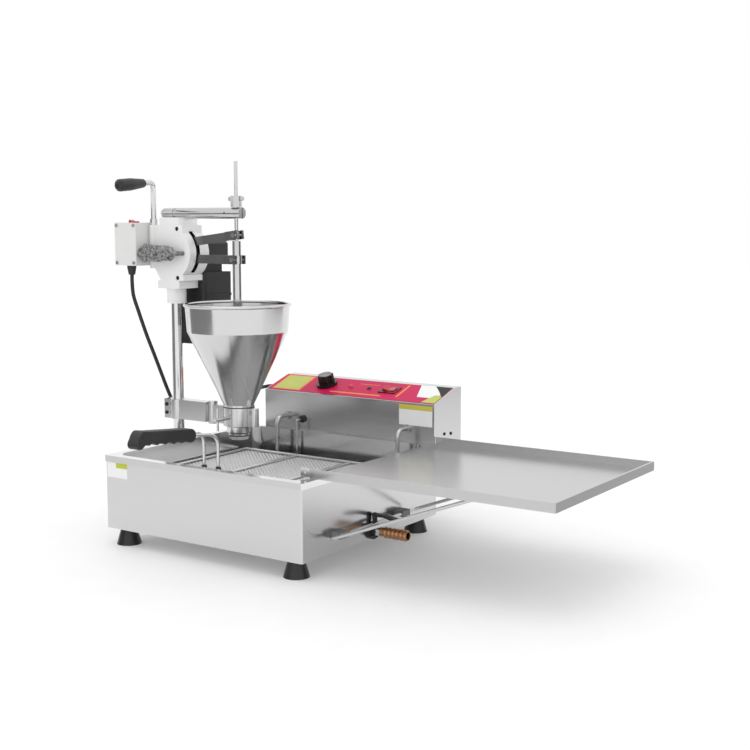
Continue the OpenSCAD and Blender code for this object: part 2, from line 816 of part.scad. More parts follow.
// Heating element: runs on the pan's floor, with two risers to the control head
module elem_bend(a) rotate_extrude(angle = a) translate([elem_pitch / 2, 0]) circle(d = elem_d);
module heating_element() color("gray") at_datum() {
    for (i = [0 : elem_runs - 1]) translate([elem_x0 + i * elem_pitch, 0, elem_z]) {
        y1 = i == 0 || i == elem_runs - 1 ? elem_y1 - elem_bend_r : elem_y1 - elem_pitch / 2 - elem_bend_r;
        wire([0, elem_front + elem_pitch / 2, 0], [0, y1, 0], elem_d);
    }
    for (i = [0 : 2 : elem_runs - 2])
        translate([elem_x0 + (i + 0.5) * elem_pitch, elem_front + elem_pitch / 2, elem_z])
            rotate([0, 0, 180]) elem_bend(180);
    for (i = [1 : 2 : elem_runs - 3])
        translate([elem_x0 + (i + 0.5) * elem_pitch, elem_y1 - elem_pitch / 2 - elem_bend_r, elem_z])
            elem_bend(180);
    for (x = elem_ends()) translate([x, elem_y1, 0]) {
        translate([0, -elem_bend_r, elem_z + elem_bend_r]) rotate([0, 90, 0]) rotate([0, 0, 0])
            rotate_extrude(angle = 90) translate([elem_bend_r, 0]) circle(d = elem_d);
        wire([0, 0, elem_z + elem_bend_r], [0, 0, elem_exit_z - elem_bend_r], elem_d);
        translate([0, elem_bend_r, elem_exit_z - elem_bend_r]) rotate([0, 90, 0]) rotate([0, 0, 180])
            rotate_extrude(angle = 90) translate([elem_bend_r, 0]) circle(d = elem_d);
        wire([0, elem_bend_r, elem_exit_z], [0, elem_stand + elem_stub, elem_exit_z], elem_d);
    }
}

module gland(x, z, d, bore, neck) at_datum() translate([x, ctl_y0, z]) along_y() difference() {
    union() {
        translate([0, 0, -gland_t]) cylinder(h = gland_t, d = d);
        translate([0, 0, -over]) cylinder(h = ctl_t + 2 * over, d = neck);
    }
    translate([0, 0, -gland_t - over]) cylinder(h = gland_t + ctl_t + 4 * over, d = bore + 2 * seat_gap);
}
module element_glands() color("silver") {
    for (x = elem_ends()) gland(x, elem_exit_z, gland_d, elem_d, gland_d - gland_t - 2 * bolt_gap);
    gland(elem_x0 + probe_u, probe_z, probe_grommet_d, probe_d, probe_grommet_d - gland_t - 2 * bolt_gap);
}

module thermostat_probe() color("goldenrod") at_datum() {
    x = elem_x0 + probe_u;
    y = ctl_y0 - probe_out;
    bent_wire([[x, ctl_y0 + elem_stub, probe_z], [x, y, probe_z], [x, y, elem_z + probe_tip_l]], probe_d);
    translate([x, y, elem_z]) cylinder(h = probe_tip_l, d = probe_tip_d);
}

// Drain
module drain_pipe() color("silver") at_datum() translate([0, drain_y, 0]) difference() {
    union() {
        translate([sump_x, 0, drain_z]) cylinder(h = pan_under - drain_z, d = pipe_d);
        translate([sump_x, 0, drain_z]) along_x()
            cylinder(h = valve_x + valve_socket_l - sump_x, d = pipe_d);
        translate([sump_x, 0, drain_z]) sphere(d = pipe_d);
    }
    translate([sump_x, 0, drain_z]) cylinder(h = pan_under - drain_z + over, d = drain_bore);
    translate([sump_x, 0, drain_z]) along_x()
        cylinder(h = valve_x + valve_socket_l - sump_x + over, d = drain_bore);
    translate([sump_x, 0, drain_z]) sphere(d = drain_bore);
}

module drain_valve_body() color("black") at_datum() translate([valve_x, drain_y, drain_z]) difference() {
    union() {
        along_x() cylinder(h = valve_flange_l, d = valve_d);
        along_x() cylinder(h = valve_l, d = valve_neck_d);
        translate([stem_in, 0, 0]) cylinder(h = lever_z - drain_z - fit_gap, d = stem_boss_d);
        translate([stem_in, 0, 0]) cylinder(h = stem_top - drain_z, d = stem_d);
    }
    translate([-over, 0, 0]) along_x() cylinder(h = valve_socket_l + over, d = pipe_d + 2 * seat_gap);
    along_x() cylinder(h = valve_l + over, d = drain_bore);
}

module drain_collar() color("gainsboro") at_datum() translate([valve_x + valve_l, drain_y, drain_z]) along_x()
    difference() {
        cylinder(h = collar_l, d = collar_af, $fn = 6);
        translate([0, 0, -over]) cylinder(h = collar_l + 2 * over, d = drain_bore);
    }

// Ribbed hose tail: each rib rises to a crest and falls back to the root
module drain_spout() color("peru") at_datum() translate([spout_x, drain_y, drain_z]) along_x()
    rotate_extrude() {
        pitch = (spout_l - spout_root_l) / spout_ribs;
        crest = spout_d / 2;
        root = crest - spout_rib_drop;
        polygon(concat([[drain_bore / 2, 0], [root, 0], [root, spout_root_l]],
            [for (i = [0 : spout_ribs - 1], p = rib_shares)
                [root + p[0] * spout_rib_drop, spout_root_l + (i + p[1]) * pitch]],
            [[root, spout_l], [drain_bore / 2, spout_l]]));
    }

module drain_lever() color("black") at_datum() translate([stem_x, drain_y, lever_z]) difference() {
    union() {
        cylinder(h = lever_t, d = lever_w);
        across_y(-lever_w / 2, lever_w / 2) {
            polygon([[0, 0], [lever_knee, 0], [lever_l, -lever_tip_drop],
                [lever_l, lever_tip_t - lever_tip_drop], [lever_knee, lever_t], [0, lever_t]]);
            translate([lever_l, lever_tip_t / 2 - lever_tip_drop]) circle(d = lever_tip_t);
        }
    }
    translate([0, 0, -over]) cylinder(h = lever_t + 2 * over, d = stem_d + 2 * run_gap);
}

// Column socket on the tank's left wall
module column_socket() color("silver") at_datum() difference() {
    union() {
        block([-casing_x - socket_plate_t, col_y - socket_plate_w / 2, socket_z0],
            [-casing_x, col_y + socket_plate_w / 2, socket_z0 + socket_plate_h]);
        intersection() {
            translate([col_x, col_y, socket_z0]) cylinder(h = socket_plate_h, d = socket_d);
            block([col_x - socket_d, col_y - socket_d, socket_z0],
                [-casing_x, col_y + socket_d, socket_z0 + socket_plate_h]);
        }
    }
    translate([col_x, col_y, socket_z0 + socket_floor])
        cylinder(h = socket_plate_h, d = col_d + 2 * run_gap);
    for (y = [-1, 1], z = socket_bolt_zs)
        translate([-casing_x - socket_plate_t - over, col_y + y * socket_bolt_dy, z]) along_x()
            cylinder(h = socket_plate_t + 2 * over, d = socket_bolt_d + 2 * bolt_gap);
}

module socket_bolts() color("silver") at_datum() for (y = [-1, 1], z = socket_bolt_zs)
    translate([-casing_x, col_y + y * socket_bolt_dy, z]) along_x() {
        translate([0, 0, -socket_plate_t - socket_head_h])
            cylinder(h = socket_head_h, d = socket_head_d, $fn = 6);
        translate([0, 0, -socket_plate_t - socket_head_h])
            cylinder(h = socket_plate_t + sheet_t + 2 * socket_head_h, d = socket_bolt_d);
        translate([0, 0, sheet_t]) cylinder(h = socket_head_h, d = socket_head_d, $fn = 6);
    }

// Cord: one tube swept along the route
function unit(v) = v / norm(v);
function heading(p, i) = unit(p[min(i + 1, len(p) - 1)] - p[max(i - 1, 0)]);
function cord_ring(p, i) = let (t = heading(p, i), a = unit(cross(t, [0.3, -0.6, 0.1])), b = cross(t, a))
    [for (k = [0 : cord_sides - 1]) let (w = 360 * k / cord_sides)
        p[i] + cord_d / 2 * (cos(w) * a + sin(w) * b)];
module power_cord() color("black") at_datum() {
    n = len(cord_route);
    points = [for (i = [0 : n - 1]) each cord_ring(cord_route, i)];
    sides = [for (i = [0 : n - 2], k = [0 : cord_sides - 1])
        let (a = i * cord_sides + k, b = i * cord_sides + (k + 1) % cord_sides)
            each [[a, b, b + cord_sides], [a, b + cord_sides, a + cord_sides]]];
    first = [for (k = [1 : cord_sides - 2]) [0, k + 1, k]];
    last = [for (k = [1 : cord_sides - 2]) let (o = (n - 1) * cord_sides) [o, o + k, o + k + 1]];
    polyhedron(points, concat(sides, first, last));
}

// Frying screen
module screen_frame() color("silver") at_datum() {
    w = screen_w - rod_d;
    y0 = screen_y0 + rod_d / 2;
    y1 = screen_y1 - rod_d / 2;
    for (i = [0 : screen_ribs]) wire([w * (i / screen_ribs - 0.5), y0, screen_top],
        [w * (i / screen_ribs - 0.5), y1, screen_top], rod_d);
    for (y = [y0, y1]) wire([-w / 2, y, screen_top], [w / 2, y, screen_top], rod_d);
    for (x = [-w / 2, w / 2], y = [y0, y1]) {
        translate([x, y, screen_top]) sphere(d = rod_d);
        wire([x, y, pan_floor], [x, y, screen_top], rod_d);
    }
}

module screen_net() color("lightgray") at_datum() translate([0, (screen_y0 + screen_y1) / 2, net_z])
    linear_extrude(net_t) difference() {
        square([screen_w - 3 * rod_d, screen_d - 3 * rod_d], center = true);
        px = (screen_w - 3 * rod_d - net_wire) / net_nx;
        py = (screen_d - 3 * rod_d - net_wire) / net_ny;
        for (i = [0 : net_nx - 1], j = [0 : net_ny - 1])
            translate([(i + 0.5 - net_nx / 2) * px, (j + 0.5 - net_ny / 2) * py])
                square([px - net_wire, py - net_wire], center = true);
    }

// The handle's own frame: at the top of its wires, -Y along the grip
module at_handle() at_datum() translate([handle_x, screen_y0 + rod_d / 2, handle_top])
    rotate([-handle_tilt, 0, 0]) children();
module handle_wires(d) for (s = [-1, 1])
    wire([s * handle_gap / 2, 0, 0], [s * grip_wire_gap / 2, -handle_reach, 0], d);

module screen_handle() color("silver") at_datum() for (s = [-1, 1])
    translate([handle_x + s * handle_gap / 2, screen_y0 + rod_d / 2, screen_top + rod_d / 2])
        rotate([0, 0, -s * handle_turn])
            crook(handle_rise - rod_d / 2 - handle_cut, handle_bend_r, handle_a, handle_run, rod_d);

// Dark sleeves on the handle's wires, level with the rim
module handle_sleeves() color("black") at_datum() for (s = [-1, 1])
    translate([handle_x + s * handle_gap / 2, screen_y0 + rod_d / 2, rim_z + sleeve_up - sleeve_l])
        difference() {
            cylinder(h = sleeve_l, d = sleeve_d);
            translate([0, 0, -over]) cylinder(h = sleeve_l + 2 * over, d = rod_d + 2 * seat_gap);
        }

module screen_grip() color("black") at_handle() difference() {
    across_x(-grip_w / 2, grip_w / 2) difference() {
        union() {
            translate([-grip_root - grip_l + grip_h / 2, -grip_h / 2]) square([grip_l - grip_h, grip_h]);
            for (y = [grip_h / 2, grip_l - grip_h / 2]) translate([-grip_root - y, 0]) circle(d = grip_h);
            translate([-grip_root - grip_l + grip_h / 2, grip_h - grip_end_h]) circle(d = grip_h);
            translate([-grip_root - grip_l, grip_h - grip_end_h]) square([grip_h, grip_end_h - grip_h]);
        }
        for (i = [0 : grip_grooves - 1])
            translate([-grip_root - grip_h - i * (grip_l - 2 * grip_h) / grip_grooves,
                -grip_h / 2 - grip_groove_r + grip_groove_cut]) circle(grip_groove_r);
    }
    handle_wires(rod_d + 2 * seat_gap);
}

// Drain tray: open at the left, where it hooks over the pan's right wall
module drain_tray() color("silver") at_datum() {
    difference() {
        block([tray_x0, tray_front, rim_z], [tray_x1, tray_y1, rim_z + tray_rim_h]);
        block([tray_x0 - over, tray_front + tray_t, rim_z + tray_t],
            [tray_x1 - tray_t, tray_y1 - tray_t, rim_z + tray_rim_h + over]);
        block([tray_x0 - over, tray_front - over, rim_z + tray_t],
            [tray_rim_x, tray_y1 + over, rim_z + tray_rim_h + over]);
        block([tray_x0 - over, tray_notch_y, rim_z - over],
            [tray_notch_x, tray_y1 + over, rim_z + tray_rim_h + over]);
    }
    // Hems folded in along the rims' top edges
    for (p = [[tray_rim_x, tray_front], [tray_notch_x, tray_y1 - tray_hem]])
        block([p[0], p[1], rim_z + tray_rim_h - tray_t], [tray_x1, p[1] + tray_hem, rim_z + tray_rim_h]);
    block([tray_x1 - tray_hem, tray_front, rim_z + tray_rim_h - tray_t],
        [tray_x1, tray_y1, rim_z + tray_rim_h]);
    // Lip turned down inside the pan
    block([tray_x0, tray_front + tray_t, rim_z - tray_hook_h],
        [tray_x0 + tray_t, tray_notch_y, rim_z + tray_t]);
}

// Brace: a U of wire in one sloped plane, trimmed where its legs meet the tray
module tray_brace() color("silver") at_datum() intersection() {
    slope = atan2(rim_z - brace_z, brace_x1 - brace_x0);
    run = norm([rim_z - brace_z, brace_x1 - brace_x0]);
    translate([brace_x0, (brace_front + brace_back) / 2, brace_z]) rotate([0, -slope, 0]) {
        half = (brace_back - brace_front) / 2;
        translate([0, -half + brace_bend_r, 0]) along_y()
            cylinder(h = 2 * (half - brace_bend_r), d = brace_d);
        for (s = [-1, 1]) {
            translate([brace_bend_r, s * (half - brace_bend_r), 0]) rotate([0, 0, s > 0 ? 90 : 180])
                rotate_extrude(angle = 90) translate([brace_bend_r, 0]) circle(d = brace_d);
            translate([brace_bend_r, s * half, 0]) along_x() cylinder(h = run, d = brace_d);
        }
    }
    block([brace_x0 - brace_d, brace_front - brace_d, brace_z - brace_d],
        [brace_x1 + 2 * brace_bend_r, brace_back + brace_d, rim_z]);
}

module brace_pads() color("dimgray") at_datum() for (y = pad_ys) difference() {
    block([casing_x + fit_gap, y - pad_l / 2, brace_z - pad_w / 2],
        [brace_x0 + brace_d / 2 + tray_t, y + pad_l / 2, brace_z + pad_w / 2]);
    translate([brace_x0, y - pad_l / 2 - over, brace_z]) along_y()
        cylinder(h = pad_l + 2 * over, d = brace_d + 2 * seat_gap);
}

// Depositor
module column() color("silver") at_column() translate([0, 0, socket_z0 + socket_floor])
    cylinder(h = base_z - socket_z0 - socket_floor, d = col_d);

module lower_arm() color("silver") at_column() difference() {
    union() {
        translate([0, 0, arm_z]) cylinder(h = boss_h, d = boss_d);
        block([-clamp_l, -clamp_w / 2, arm_z], [0, clamp_w / 2, arm_z + boss_h]);
        block([0, -arm_t / 2, arm_z], [arm_l, arm_t / 2, arm_z + boss_h]);
        translate([arm_l + knuckle_d / 2, 0, arm_z - knuckle_over])
            cylinder(h = boss_h + 2 * knuckle_over, d = knuckle_d);
        block([arm_l, -web_t / 2, arm_z], [arm_reach, web_t / 2, arm_z + ring_h]);
        translate([arm_reach, 0, arm_z]) cylinder(h = ring_h, d = ring_d);
        translate([arm_reach + ear_x, 0, arm_z]) cylinder(h = ring_h, d = ear_d);
        block([arm_reach, -ear_d / 2, arm_z], [arm_reach + ear_x, ear_d / 2, arm_z + ring_h]);
    }
    translate([0, 0, arm_z - over]) cylinder(h = boss_h + 2 * over, d = col_d + 2 * seat_gap);
    block([-clamp_l - over, -clamp_slit / 2, arm_z - over], [0, clamp_slit / 2, arm_z + boss_h + over]);
    for (z = clamp_bolt_zs) translate([-clamp_bolt_x, -clamp_w / 2 - over, z]) along_y()
        cylinder(h = clamp_w + 2 * over, d = clamp_bolt_d + 2 * bolt_gap);
    translate([arm_reach, 0, arm_z - over]) cylinder(h = ring_h + 2 * over, d = nozzle_d + 2 * seat_gap);
    translate([arm_reach, 0, screw_z]) rotate([90, 0, 0]) cylinder(h = ring_d, d = screw_d + 2 * seat_gap);
}

module arm_bolts() color("silver") at_column() for (z = clamp_bolt_zs)
    translate([-clamp_bolt_x, -clamp_w / 2 - clamp_head_h, z]) along_y() {
        cylinder(h = clamp_head_h, d = clamp_head_d);
        cylinder(h = clamp_w + 2 * clamp_head_h, d = clamp_bolt_d);
        translate([0, 0, clamp_w + clamp_head_h]) cylinder(h = clamp_head_h, d = clamp_head_d, $fn = 6);
    }

module nozzle_cylinder() color("silver") at_hopper() difference() {
    union() {
        translate([0, 0, nozzle_z0 + nozzle_foot_h])
            cylinder(h = neck_z0 - nozzle_z0 - nozzle_foot_h, d = nozzle_d);
        translate([0, 0, nozzle_z0]) cylinder(h = nozzle_foot_h, d1 = nozzle_lip_d, d2 = nozzle_d);
        translate([0, 0, arm_z - nozzle_step]) cylinder(h = nozzle_step, d = nozzle_d + nozzle_foot_h);
    }
    translate([0, 0, nozzle_z0 - over]) cylinder(h = neck_z0 - nozzle_z0 + 2 * over, d = nozzle_bore);
}

// T-handled screw that clamps the nozzle in its ring
module clamp_screw() color("silver") at_hopper() translate([0, -nozzle_d / 2 - fit_gap, screw_z]) {
    rotate([90, 0, 0]) cylinder(h = screw_l, d = screw_d);
    translate([0, -screw_l + screw_bar_in, -screw_bar_l / 2]) cylinder(h = screw_bar_l, d = screw_bar_d);
}

module hopper() color("silver") at_hopper() rotate_extrude() {
    r0 = neck_d / 2;
    r1 = hopper_d / 2 - shoulder_in;
    r2 = hopper_d / 2 - roll_d / 2;
    z1 = hopper_z - shoulder_drop;
    z2 = hopper_z - roll_d / 2;
    polygon([[nozzle_bore / 2, neck_z0], [r0, neck_z0], [r0, neck_z0 + neck_h], [r1, z1], [r2, z2],
        [r2 - hopper_t, z2], [r1 - hopper_t, z1], [r0 - hopper_t, neck_z0 + neck_h],
        [r0 - hopper_t, neck_z0 + neck_h / 2], [nozzle_bore / 2, neck_z0 + neck_h / 2]]);
    translate([r2, z2]) circle(d = roll_d, $fn = 24);
}

// Gear housing: a drum with a squared left side, and lugs above and below the levers' slot
module housing_outline() {
    translate([drum_x, drum_z]) circle(drum_r);
    polygon([[house_x0, house_top], [house_x0, house_bottom + chamfer_z],
        [house_x0 + chamfer_x, house_bottom], [lug_x1, house_bottom], [lug_x1, house_bottom + lug_low_h],
        [drum_x, house_bottom + lug_low_h], [drum_x, house_top - lug_h], [lug_x1, house_top - lug_h],
        [lug_x1, house_top]]);
}
module housing_cavity() {
    translate([drum_x, drum_z]) circle(drum_r - wall);
    translate([house_x0 + wall + over, drum_z - drum_r + 4 * wall])
        square([drum_x - house_x0 - wall, 2 * drum_r - 6 * wall]);
}
module cover_screw_cuts(d, y0, y1) for (p = cover_places) translate([p[0], y0, p[1]]) along_y()
    cylinder(h = y1 - y0, d = d);

module gear_housing_rear() color("white") at_column() difference() {
    union() {
        difference() {
            across_y(seam_y, rear_y1) housing_outline();
            across_y(seam_y - over, cav_y1) housing_cavity();
        }
        // Bearing boss inside the rear wall
        translate([shaft_x, cav_y1 - plate_t, shaft_z]) along_y() cylinder(h = plate_t + over, d = bearing_d);
        // Cap and base, rooted in the drum's wall behind the seam
        block([cap_x0, front_y0, house_top], [cap_x1, seam_y + over, house_top + cap_h]);
        block([cap_x0, seam_y, house_top - over], [cap_x1, rear_y1 - over, house_top + cap_h]);
        block([base_x0, front_y0, base_z], [base_x1, seam_y + over, house_bottom]);
        block([base_x0, seam_y, base_z], [base_x1, rear_y1 - over, house_bottom + over]);
        translate([0, 0, base_z - neck_len]) cylinder(h = neck_len + over, d = collar_d);
    }
    // Slot that the levers swing in
    block([slot_x0, seam_y - over, slot_z0], [drum_x + drum_r + over, slot_w / 2, slot_z1]);
    translate([shaft_x, cav_y1 - plate_t - over, shaft_z]) along_y()
        cylinder(h = 2 * plate_t + 2 * over, d = shaft_d + 2 * run_gap);
    cover_screw_cuts(cover_screw_d + 2 * seat_gap, seam_y - over, seam_y + rear_t / 2);
    translate([0, 0, base_z - neck_len - over]) cylinder(h = neck_len + over, d = col_d + 2 * seat_gap);
    // Half-round saddle for the guide arm
    translate([cap_x0 - over, 0, guide_z]) along_x()
        cylinder(h = cap_x1 - cap_x0 + 2 * over, d = guide_d + 2 * saddle_gap);
}

module gear_housing_front() color("white") at_column() difference() {
    union() {
        difference() {
            across_y(front_y0, seam_y) housing_outline();
            across_y(cav_y0, seam_y + over) housing_cavity();
        }
        translate([shaft_x, cav_y0 - over, shaft_z]) along_y() cylinder(h = plate_t + over, d = bearing_d);
        translate([post_x, post_y, post_z]) cylinder(h = post_h, d = post_d);
    }
    translate([shaft_x, cav_y0 - shaft_end - fit_gap, shaft_z]) along_y()
        cylinder(h = plate_t + shaft_end + fit_gap + over, d = shaft_d + 2 * run_gap);
    cover_screw_cuts(cover_screw_d + 2 * seat_gap, front_y0 - over, seam_y + over);
    cover_screw_cuts(cover_cap_d + 2 * bolt_gap, front_y0 - over, front_y0 + cover_cap_h);
    translate([post_x, post_y, house_top - swing_sink])
        cylinder(h = swing_sink + over, d = swing_d + 2 * seat_gap);
    translate([conduit_x1, front_y0 - over, conduit_z]) along_y()
        cylinder(h = plate_t + 2 * over, d = conduit_bore);
}

module housing_screws() color("dimgray") at_column() for (p = cover_places)
    translate([p[0], front_y0, p[1]]) along_y() {
        translate([0, 0, cover_sink]) cylinder(h = cover_cap_h - cover_sink, d = cover_cap_d);
        translate([0, 0, cover_sink]) cylinder(h = front_t + rear_t / 3, d = cover_screw_d);
    }

module lever_pivots() color("dimgray") at_column() for (z = [upper_pivot_z, lower_pivot_z])
    translate([pivot_x, 0, z]) {
        translate([0, cav_y0, 0]) along_y() cylinder(h = cav_y1 - cav_y0, d = pivot_d);
        for (y = [-lever_bar_t / 2 - fit_gap - pivot_collar_t, lever_bar_t / 2 + fit_gap])
            translate([0, y, 0]) along_y() cylinder(h = pivot_collar_t, d = pivot_collar_d);
    }

// Levers are drawn in their own frame: pivot at the origin, +X towards the plunger
module lever_shape(side, hub_d, roller_y) {
    tine_in = hub_d / 2 + hub_gap;
    pin_x = lever_len / cos(side > 0 ? upper_rest_a : 0);
    difference() {
        union() {
            across_y(-lever_bar_t / 2, lever_bar_t / 2) {
                circle(d = lever_h);
                translate([0, -lever_h / 2]) square([pin_x - tine_in, lever_h]);
                translate([shaft_run, side * roller_rise]) circle(ear_r);
            }
            block([pin_x - tine_root - tine_in / 2, -tine_in - tine_t, -lever_h / 2],
                [pin_x + tine_reach, tine_in + tine_t, lever_h / 2]);
            translate([shaft_run, roller_y > 0 ? 0 : -cam_y - cam_t, side * roller_rise]) along_y()
                cylinder(h = cam_y + cam_t, r = roller_r / 2);
            translate([shaft_run, roller_y > 0 ? cam_y : -cam_y - cam_t, side * roller_rise]) along_y()
                cylinder(h = cam_t, r = roller_r);
        }
        translate([0, -lever_bar_t, 0]) along_y() cylinder(h = 2 * lever_bar_t, d = pivot_d + 2 * run_gap);
        block([pin_x - tine_in - trunnion_run, -tine_in, -lever_h],
            [pin_x + tine_reach + over, tine_in, lever_h]);
        // Long holes that the plunger's trunnions slide in
        across_y(-tine_in - 2 * tine_t, tine_in + 2 * tine_t) {
            for (x = [-trunnion_run, trunnion_run]) translate([pin_x + x, 0])
                circle(d = trunnion_d + 2 * trunnion_slack);
            square_at(pin_x - trunnion_run, -trunnion_d / 2 - trunnion_slack,
                2 * trunnion_run, trunnion_d + 2 * trunnion_slack);
        }
    }
}
module square_at(x, z, w, h) translate([x, z]) square([w, h]);

module upper_lever() color("slategray") at_column() translate([pivot_x, 0, upper_pivot_z])
    rotate([0, -upper_rest_a, 0]) lever_shape(1, upper_hub_d, -1);
module lower_lever() color("slategray") at_column() translate([pivot_x, 0, lower_pivot_z])
    lever_shape(-1, lower_hub_d, 1);

// Heart cams: each roller's path is turned back by the shaft's angle, then moved in by the roller
function turn(p, a) = [p[0] * cos(a) - p[1] * sin(a), p[0] * sin(a) + p[1] * cos(a)];
function roller_at(pivot_z, rest, stroke, side, a) =
    [pivot_x, pivot_z] + turn([shaft_run, side * roller_rise], rest + stroke * a / 180) - [shaft_x, shaft_z];
function path_at(pivot_z, rest, stroke, side, a) =
    turn(roller_at(pivot_z, rest, stroke, side, a), a);
function cam_at(pivot_z, rest, stroke, side, a) =
    let (p = path_at(pivot_z, rest, stroke, side, a),
        t = unit(path_at(pivot_z, rest, stroke, side, a + 1) - path_at(pivot_z, rest, stroke, side, a - 1)),
        n = [t[1], -t[0]])
    p - sign(n * p) * n * (roller_r + cam_gap);
function heart(pivot_z, rest, stroke, side) = let (
    half = [for (i = [0 : cam_steps]) cam_at(pivot_z, rest, stroke, side, 180 * i / cam_steps)],
    axis = unit(half[0] - half[cam_steps]))
    concat(half, [for (i = [cam_steps - 1 : -1 : 1])
        2 * (half[i] * axis) * axis - half[i]]);

module camshaft() color("dimgray") at_column() difference() {
    union() {
        across_y(-cam_y - cam_t, -cam_y) translate([shaft_x, shaft_z])
            polygon(heart(upper_pivot_z, upper_rest_a, upper_stroke_a, 1));
        across_y(cam_y, cam_y + cam_t) translate([shaft_x, shaft_z])
            polygon(heart(lower_pivot_z, 0, -lower_stroke_a, -1));
        translate([shaft_x, cav_y0 - shaft_end, shaft_z]) along_y()
            cylinder(h = rear_y1 - cav_y0 + shaft_end + shaft_out, d = shaft_d);
    }
}

// Plunger
module hub(d, z) {
    y = d / 2 + hub_gap + tine_t + fit_gap;
    translate([0, 0, z - hub_h / 2]) cylinder(h = hub_h, d = d);
    translate([0, -y - pin_head_t / 2, z]) along_y() cylinder(h = 2 * y + pin_head_t, d = trunnion_d);
    for (y0 = [-y - pin_head_t, y]) translate([0, y0, z]) along_y() cylinder(h = pin_head_t, d = pin_head_d);
}
module plunger_rod() color("silver") at_hopper() {
    translate([0, 0, nozzle_z0 + disc_lift])
        cylinder(h = plunger_top - nozzle_z0 - disc_lift, d = rod_plunger_d);
    translate([0, 0, nozzle_z0 + disc_lift]) cylinder(h = disc_h, d = disc_d);
    hub(upper_hub_d, upper_fork_z);
}
module plunger_tube() color("silver") at_hopper() difference() {
    union() {
        translate([0, 0, piston_z]) cylinder(h = tube_top - piston_z, d = tube_d);
        hub(lower_hub_d, lower_fork_z);
    }
    translate([0, 0, piston_z - over])
        cylinder(h = tube_top - piston_z + 2 * over, d = rod_plunger_d + 2 * run_gap);
}
module piston() color("whitesmoke") at_hopper() translate([0, 0, piston_z]) difference() {
    cylinder(h = piston_h, d = nozzle_bore - 2 * run_gap);
    translate([0, 0, -over]) cylinder(h = piston_h + 2 * over, d = tube_d + 2 * seat_gap);
}
module stop_collar() color("silver") at_hopper() translate([0, 0, stop_z]) {
    difference() {
        cylinder(h = stop_h, d = stop_d);
        translate([0, 0, -over]) cylinder(h = stop_h + 2 * over, d = rod_plunger_d + 2 * seat_gap);
    }
    for (s = [-1, 1]) translate([0, 0, stop_h - stop_wing_drop]) rotate([0, 90 * s, 0])
        translate([0, 0, stop_d / 2 - over]) {
            cylinder(h = stop_screw_l, d = stop_screw_d);
            translate([0, 0, stop_screw_l - stop_wing_t + over]) cylinder(h = stop_wing_t, d = stop_wing_d);
        }
}

// Guide arm: a round bar in its saddle, with a slit clamp at the plunger's rod
module guide_arm() color("silver") at_column() difference() {
    x1 = arm_reach + guide_end;
    union() {
        translate([guide_x0, 0, guide_z]) along_x() cylinder(h = x1 - guide_x0, d = guide_d);
        translate([guide_x0 - guide_tip, 0, guide_z]) along_x()
            cylinder(h = guide_tip, d1 = guide_d - guide_tip, d2 = guide_d);
    }
    translate([guide_groove_x, 0, guide_z]) along_x() difference() {
        cylinder(h = guide_groove_l, d = guide_d + 2 * over);
        cylinder(h = guide_groove_l, d = guide_d - 2 * guide_groove_cut);
    }
    translate([arm_reach, 0, guide_z - guide_d])
        cylinder(h = 2 * guide_d, d = rod_plunger_d + 2 * run_gap);
    block([arm_reach, -guide_slit / 2, guide_z - guide_d], [x1 + over, guide_slit / 2, guide_z + guide_d]);
    translate([arm_reach - guide_set_x, -guide_d, guide_z]) along_y()
        cylinder(h = guide_d - guide_d / 4, d = guide_set_d);
}

// Motor and right-angle gearhead
module gearhead() color("black") at_column() difference() {
    union() {
        across_y(motor_y0, motor_y0 + head_d) translate([motor_x, 0]) polygon([
            [-head_w / 2, head_z0], [head_w / 2, head_z0], [head_w / 2, head_z1 - head_chamfer],
            [head_w / 2 - head_chamfer, head_z1], [-head_w / 2 + head_chamfer, head_z1],
            [-head_w / 2, head_z1 - head_chamfer]]);
        block([motor_x - head_neck_w / 2, motor_y0 + head_chamfer, motor_top],
            [motor_x + head_neck_w / 2, motor_y0 + head_d - head_chamfer, head_z0 + over]);
    }
    translate([shaft_x, motor_y0 - over, shaft_z]) along_y()
        cylinder(h = shaft_out + 2 * over, d = shaft_d + 2 * run_gap);
}
module motor() color("black") at_column() translate([motor_x, motor_y0 + motor_d / 2, 0]) {
    translate([0, 0, motor_z0]) rounded_block(motor_w, motor_d - 2 * fit_gap, motor_top - motor_z0, motor_r);
    for (z = [motor_band_z, motor_z0 + 4 * motor_band_h]) translate([0, 0, z])
        rounded_block(motor_w + 2 * motor_band_step, motor_d - 2 * fit_gap, motor_band_h, motor_r);
}

// Switch box on the housing's left side
module lid_places() for (x = [lid_inset, box_w - lid_inset], z = [lid_inset, box_h - lid_inset])
    translate([box_x0 + x, box_y0, box_z0 + z]) along_y() children();
module switch_box() color("whitesmoke") at_column() difference() {
    union() {
        difference() {
            block([box_x0, box_y0 + lid_t, box_z0], [box_x1, box_y0 + box_d, box_z0 + box_h]);
            block([box_x0 + box_t, box_y0, box_z0 + box_t],
                [box_x1 - box_t, box_y0 + box_d - box_t, box_z0 + box_h - box_t]);
        }
        intersection() {
            lid_places() translate([0, 0, lid_t]) cylinder(h = box_d - lid_t - over, d = lid_post_d);
            block([box_x0, box_y0 + lid_t, box_z0], [box_x1, box_y0 + box_d, box_z0 + box_h]);
        }
    }
    lid_places() cylinder(h = lid_bolt_l + over, d = lid_bolt_d + 2 * seat_gap);
    translate([top_rocker_x, top_rocker_y, box_z0 + box_h - top_rocker_dip])
        translate([-top_rocker_w / 2, -top_rocker_l / 2, 0])
            cube([top_rocker_w, top_rocker_l, top_rocker_dip + over]);
    translate([gland_x, gland_y, box_z0 - over])
        cylinder(h = box_t + 2 * over, d = cord_gland_tip_d + 2 * bolt_gap);
    translate([box_x1 - box_t - over, conduit_y, conduit_z]) along_x()
        cylinder(h = box_t + 2 * over, d = conduit_bore);
}
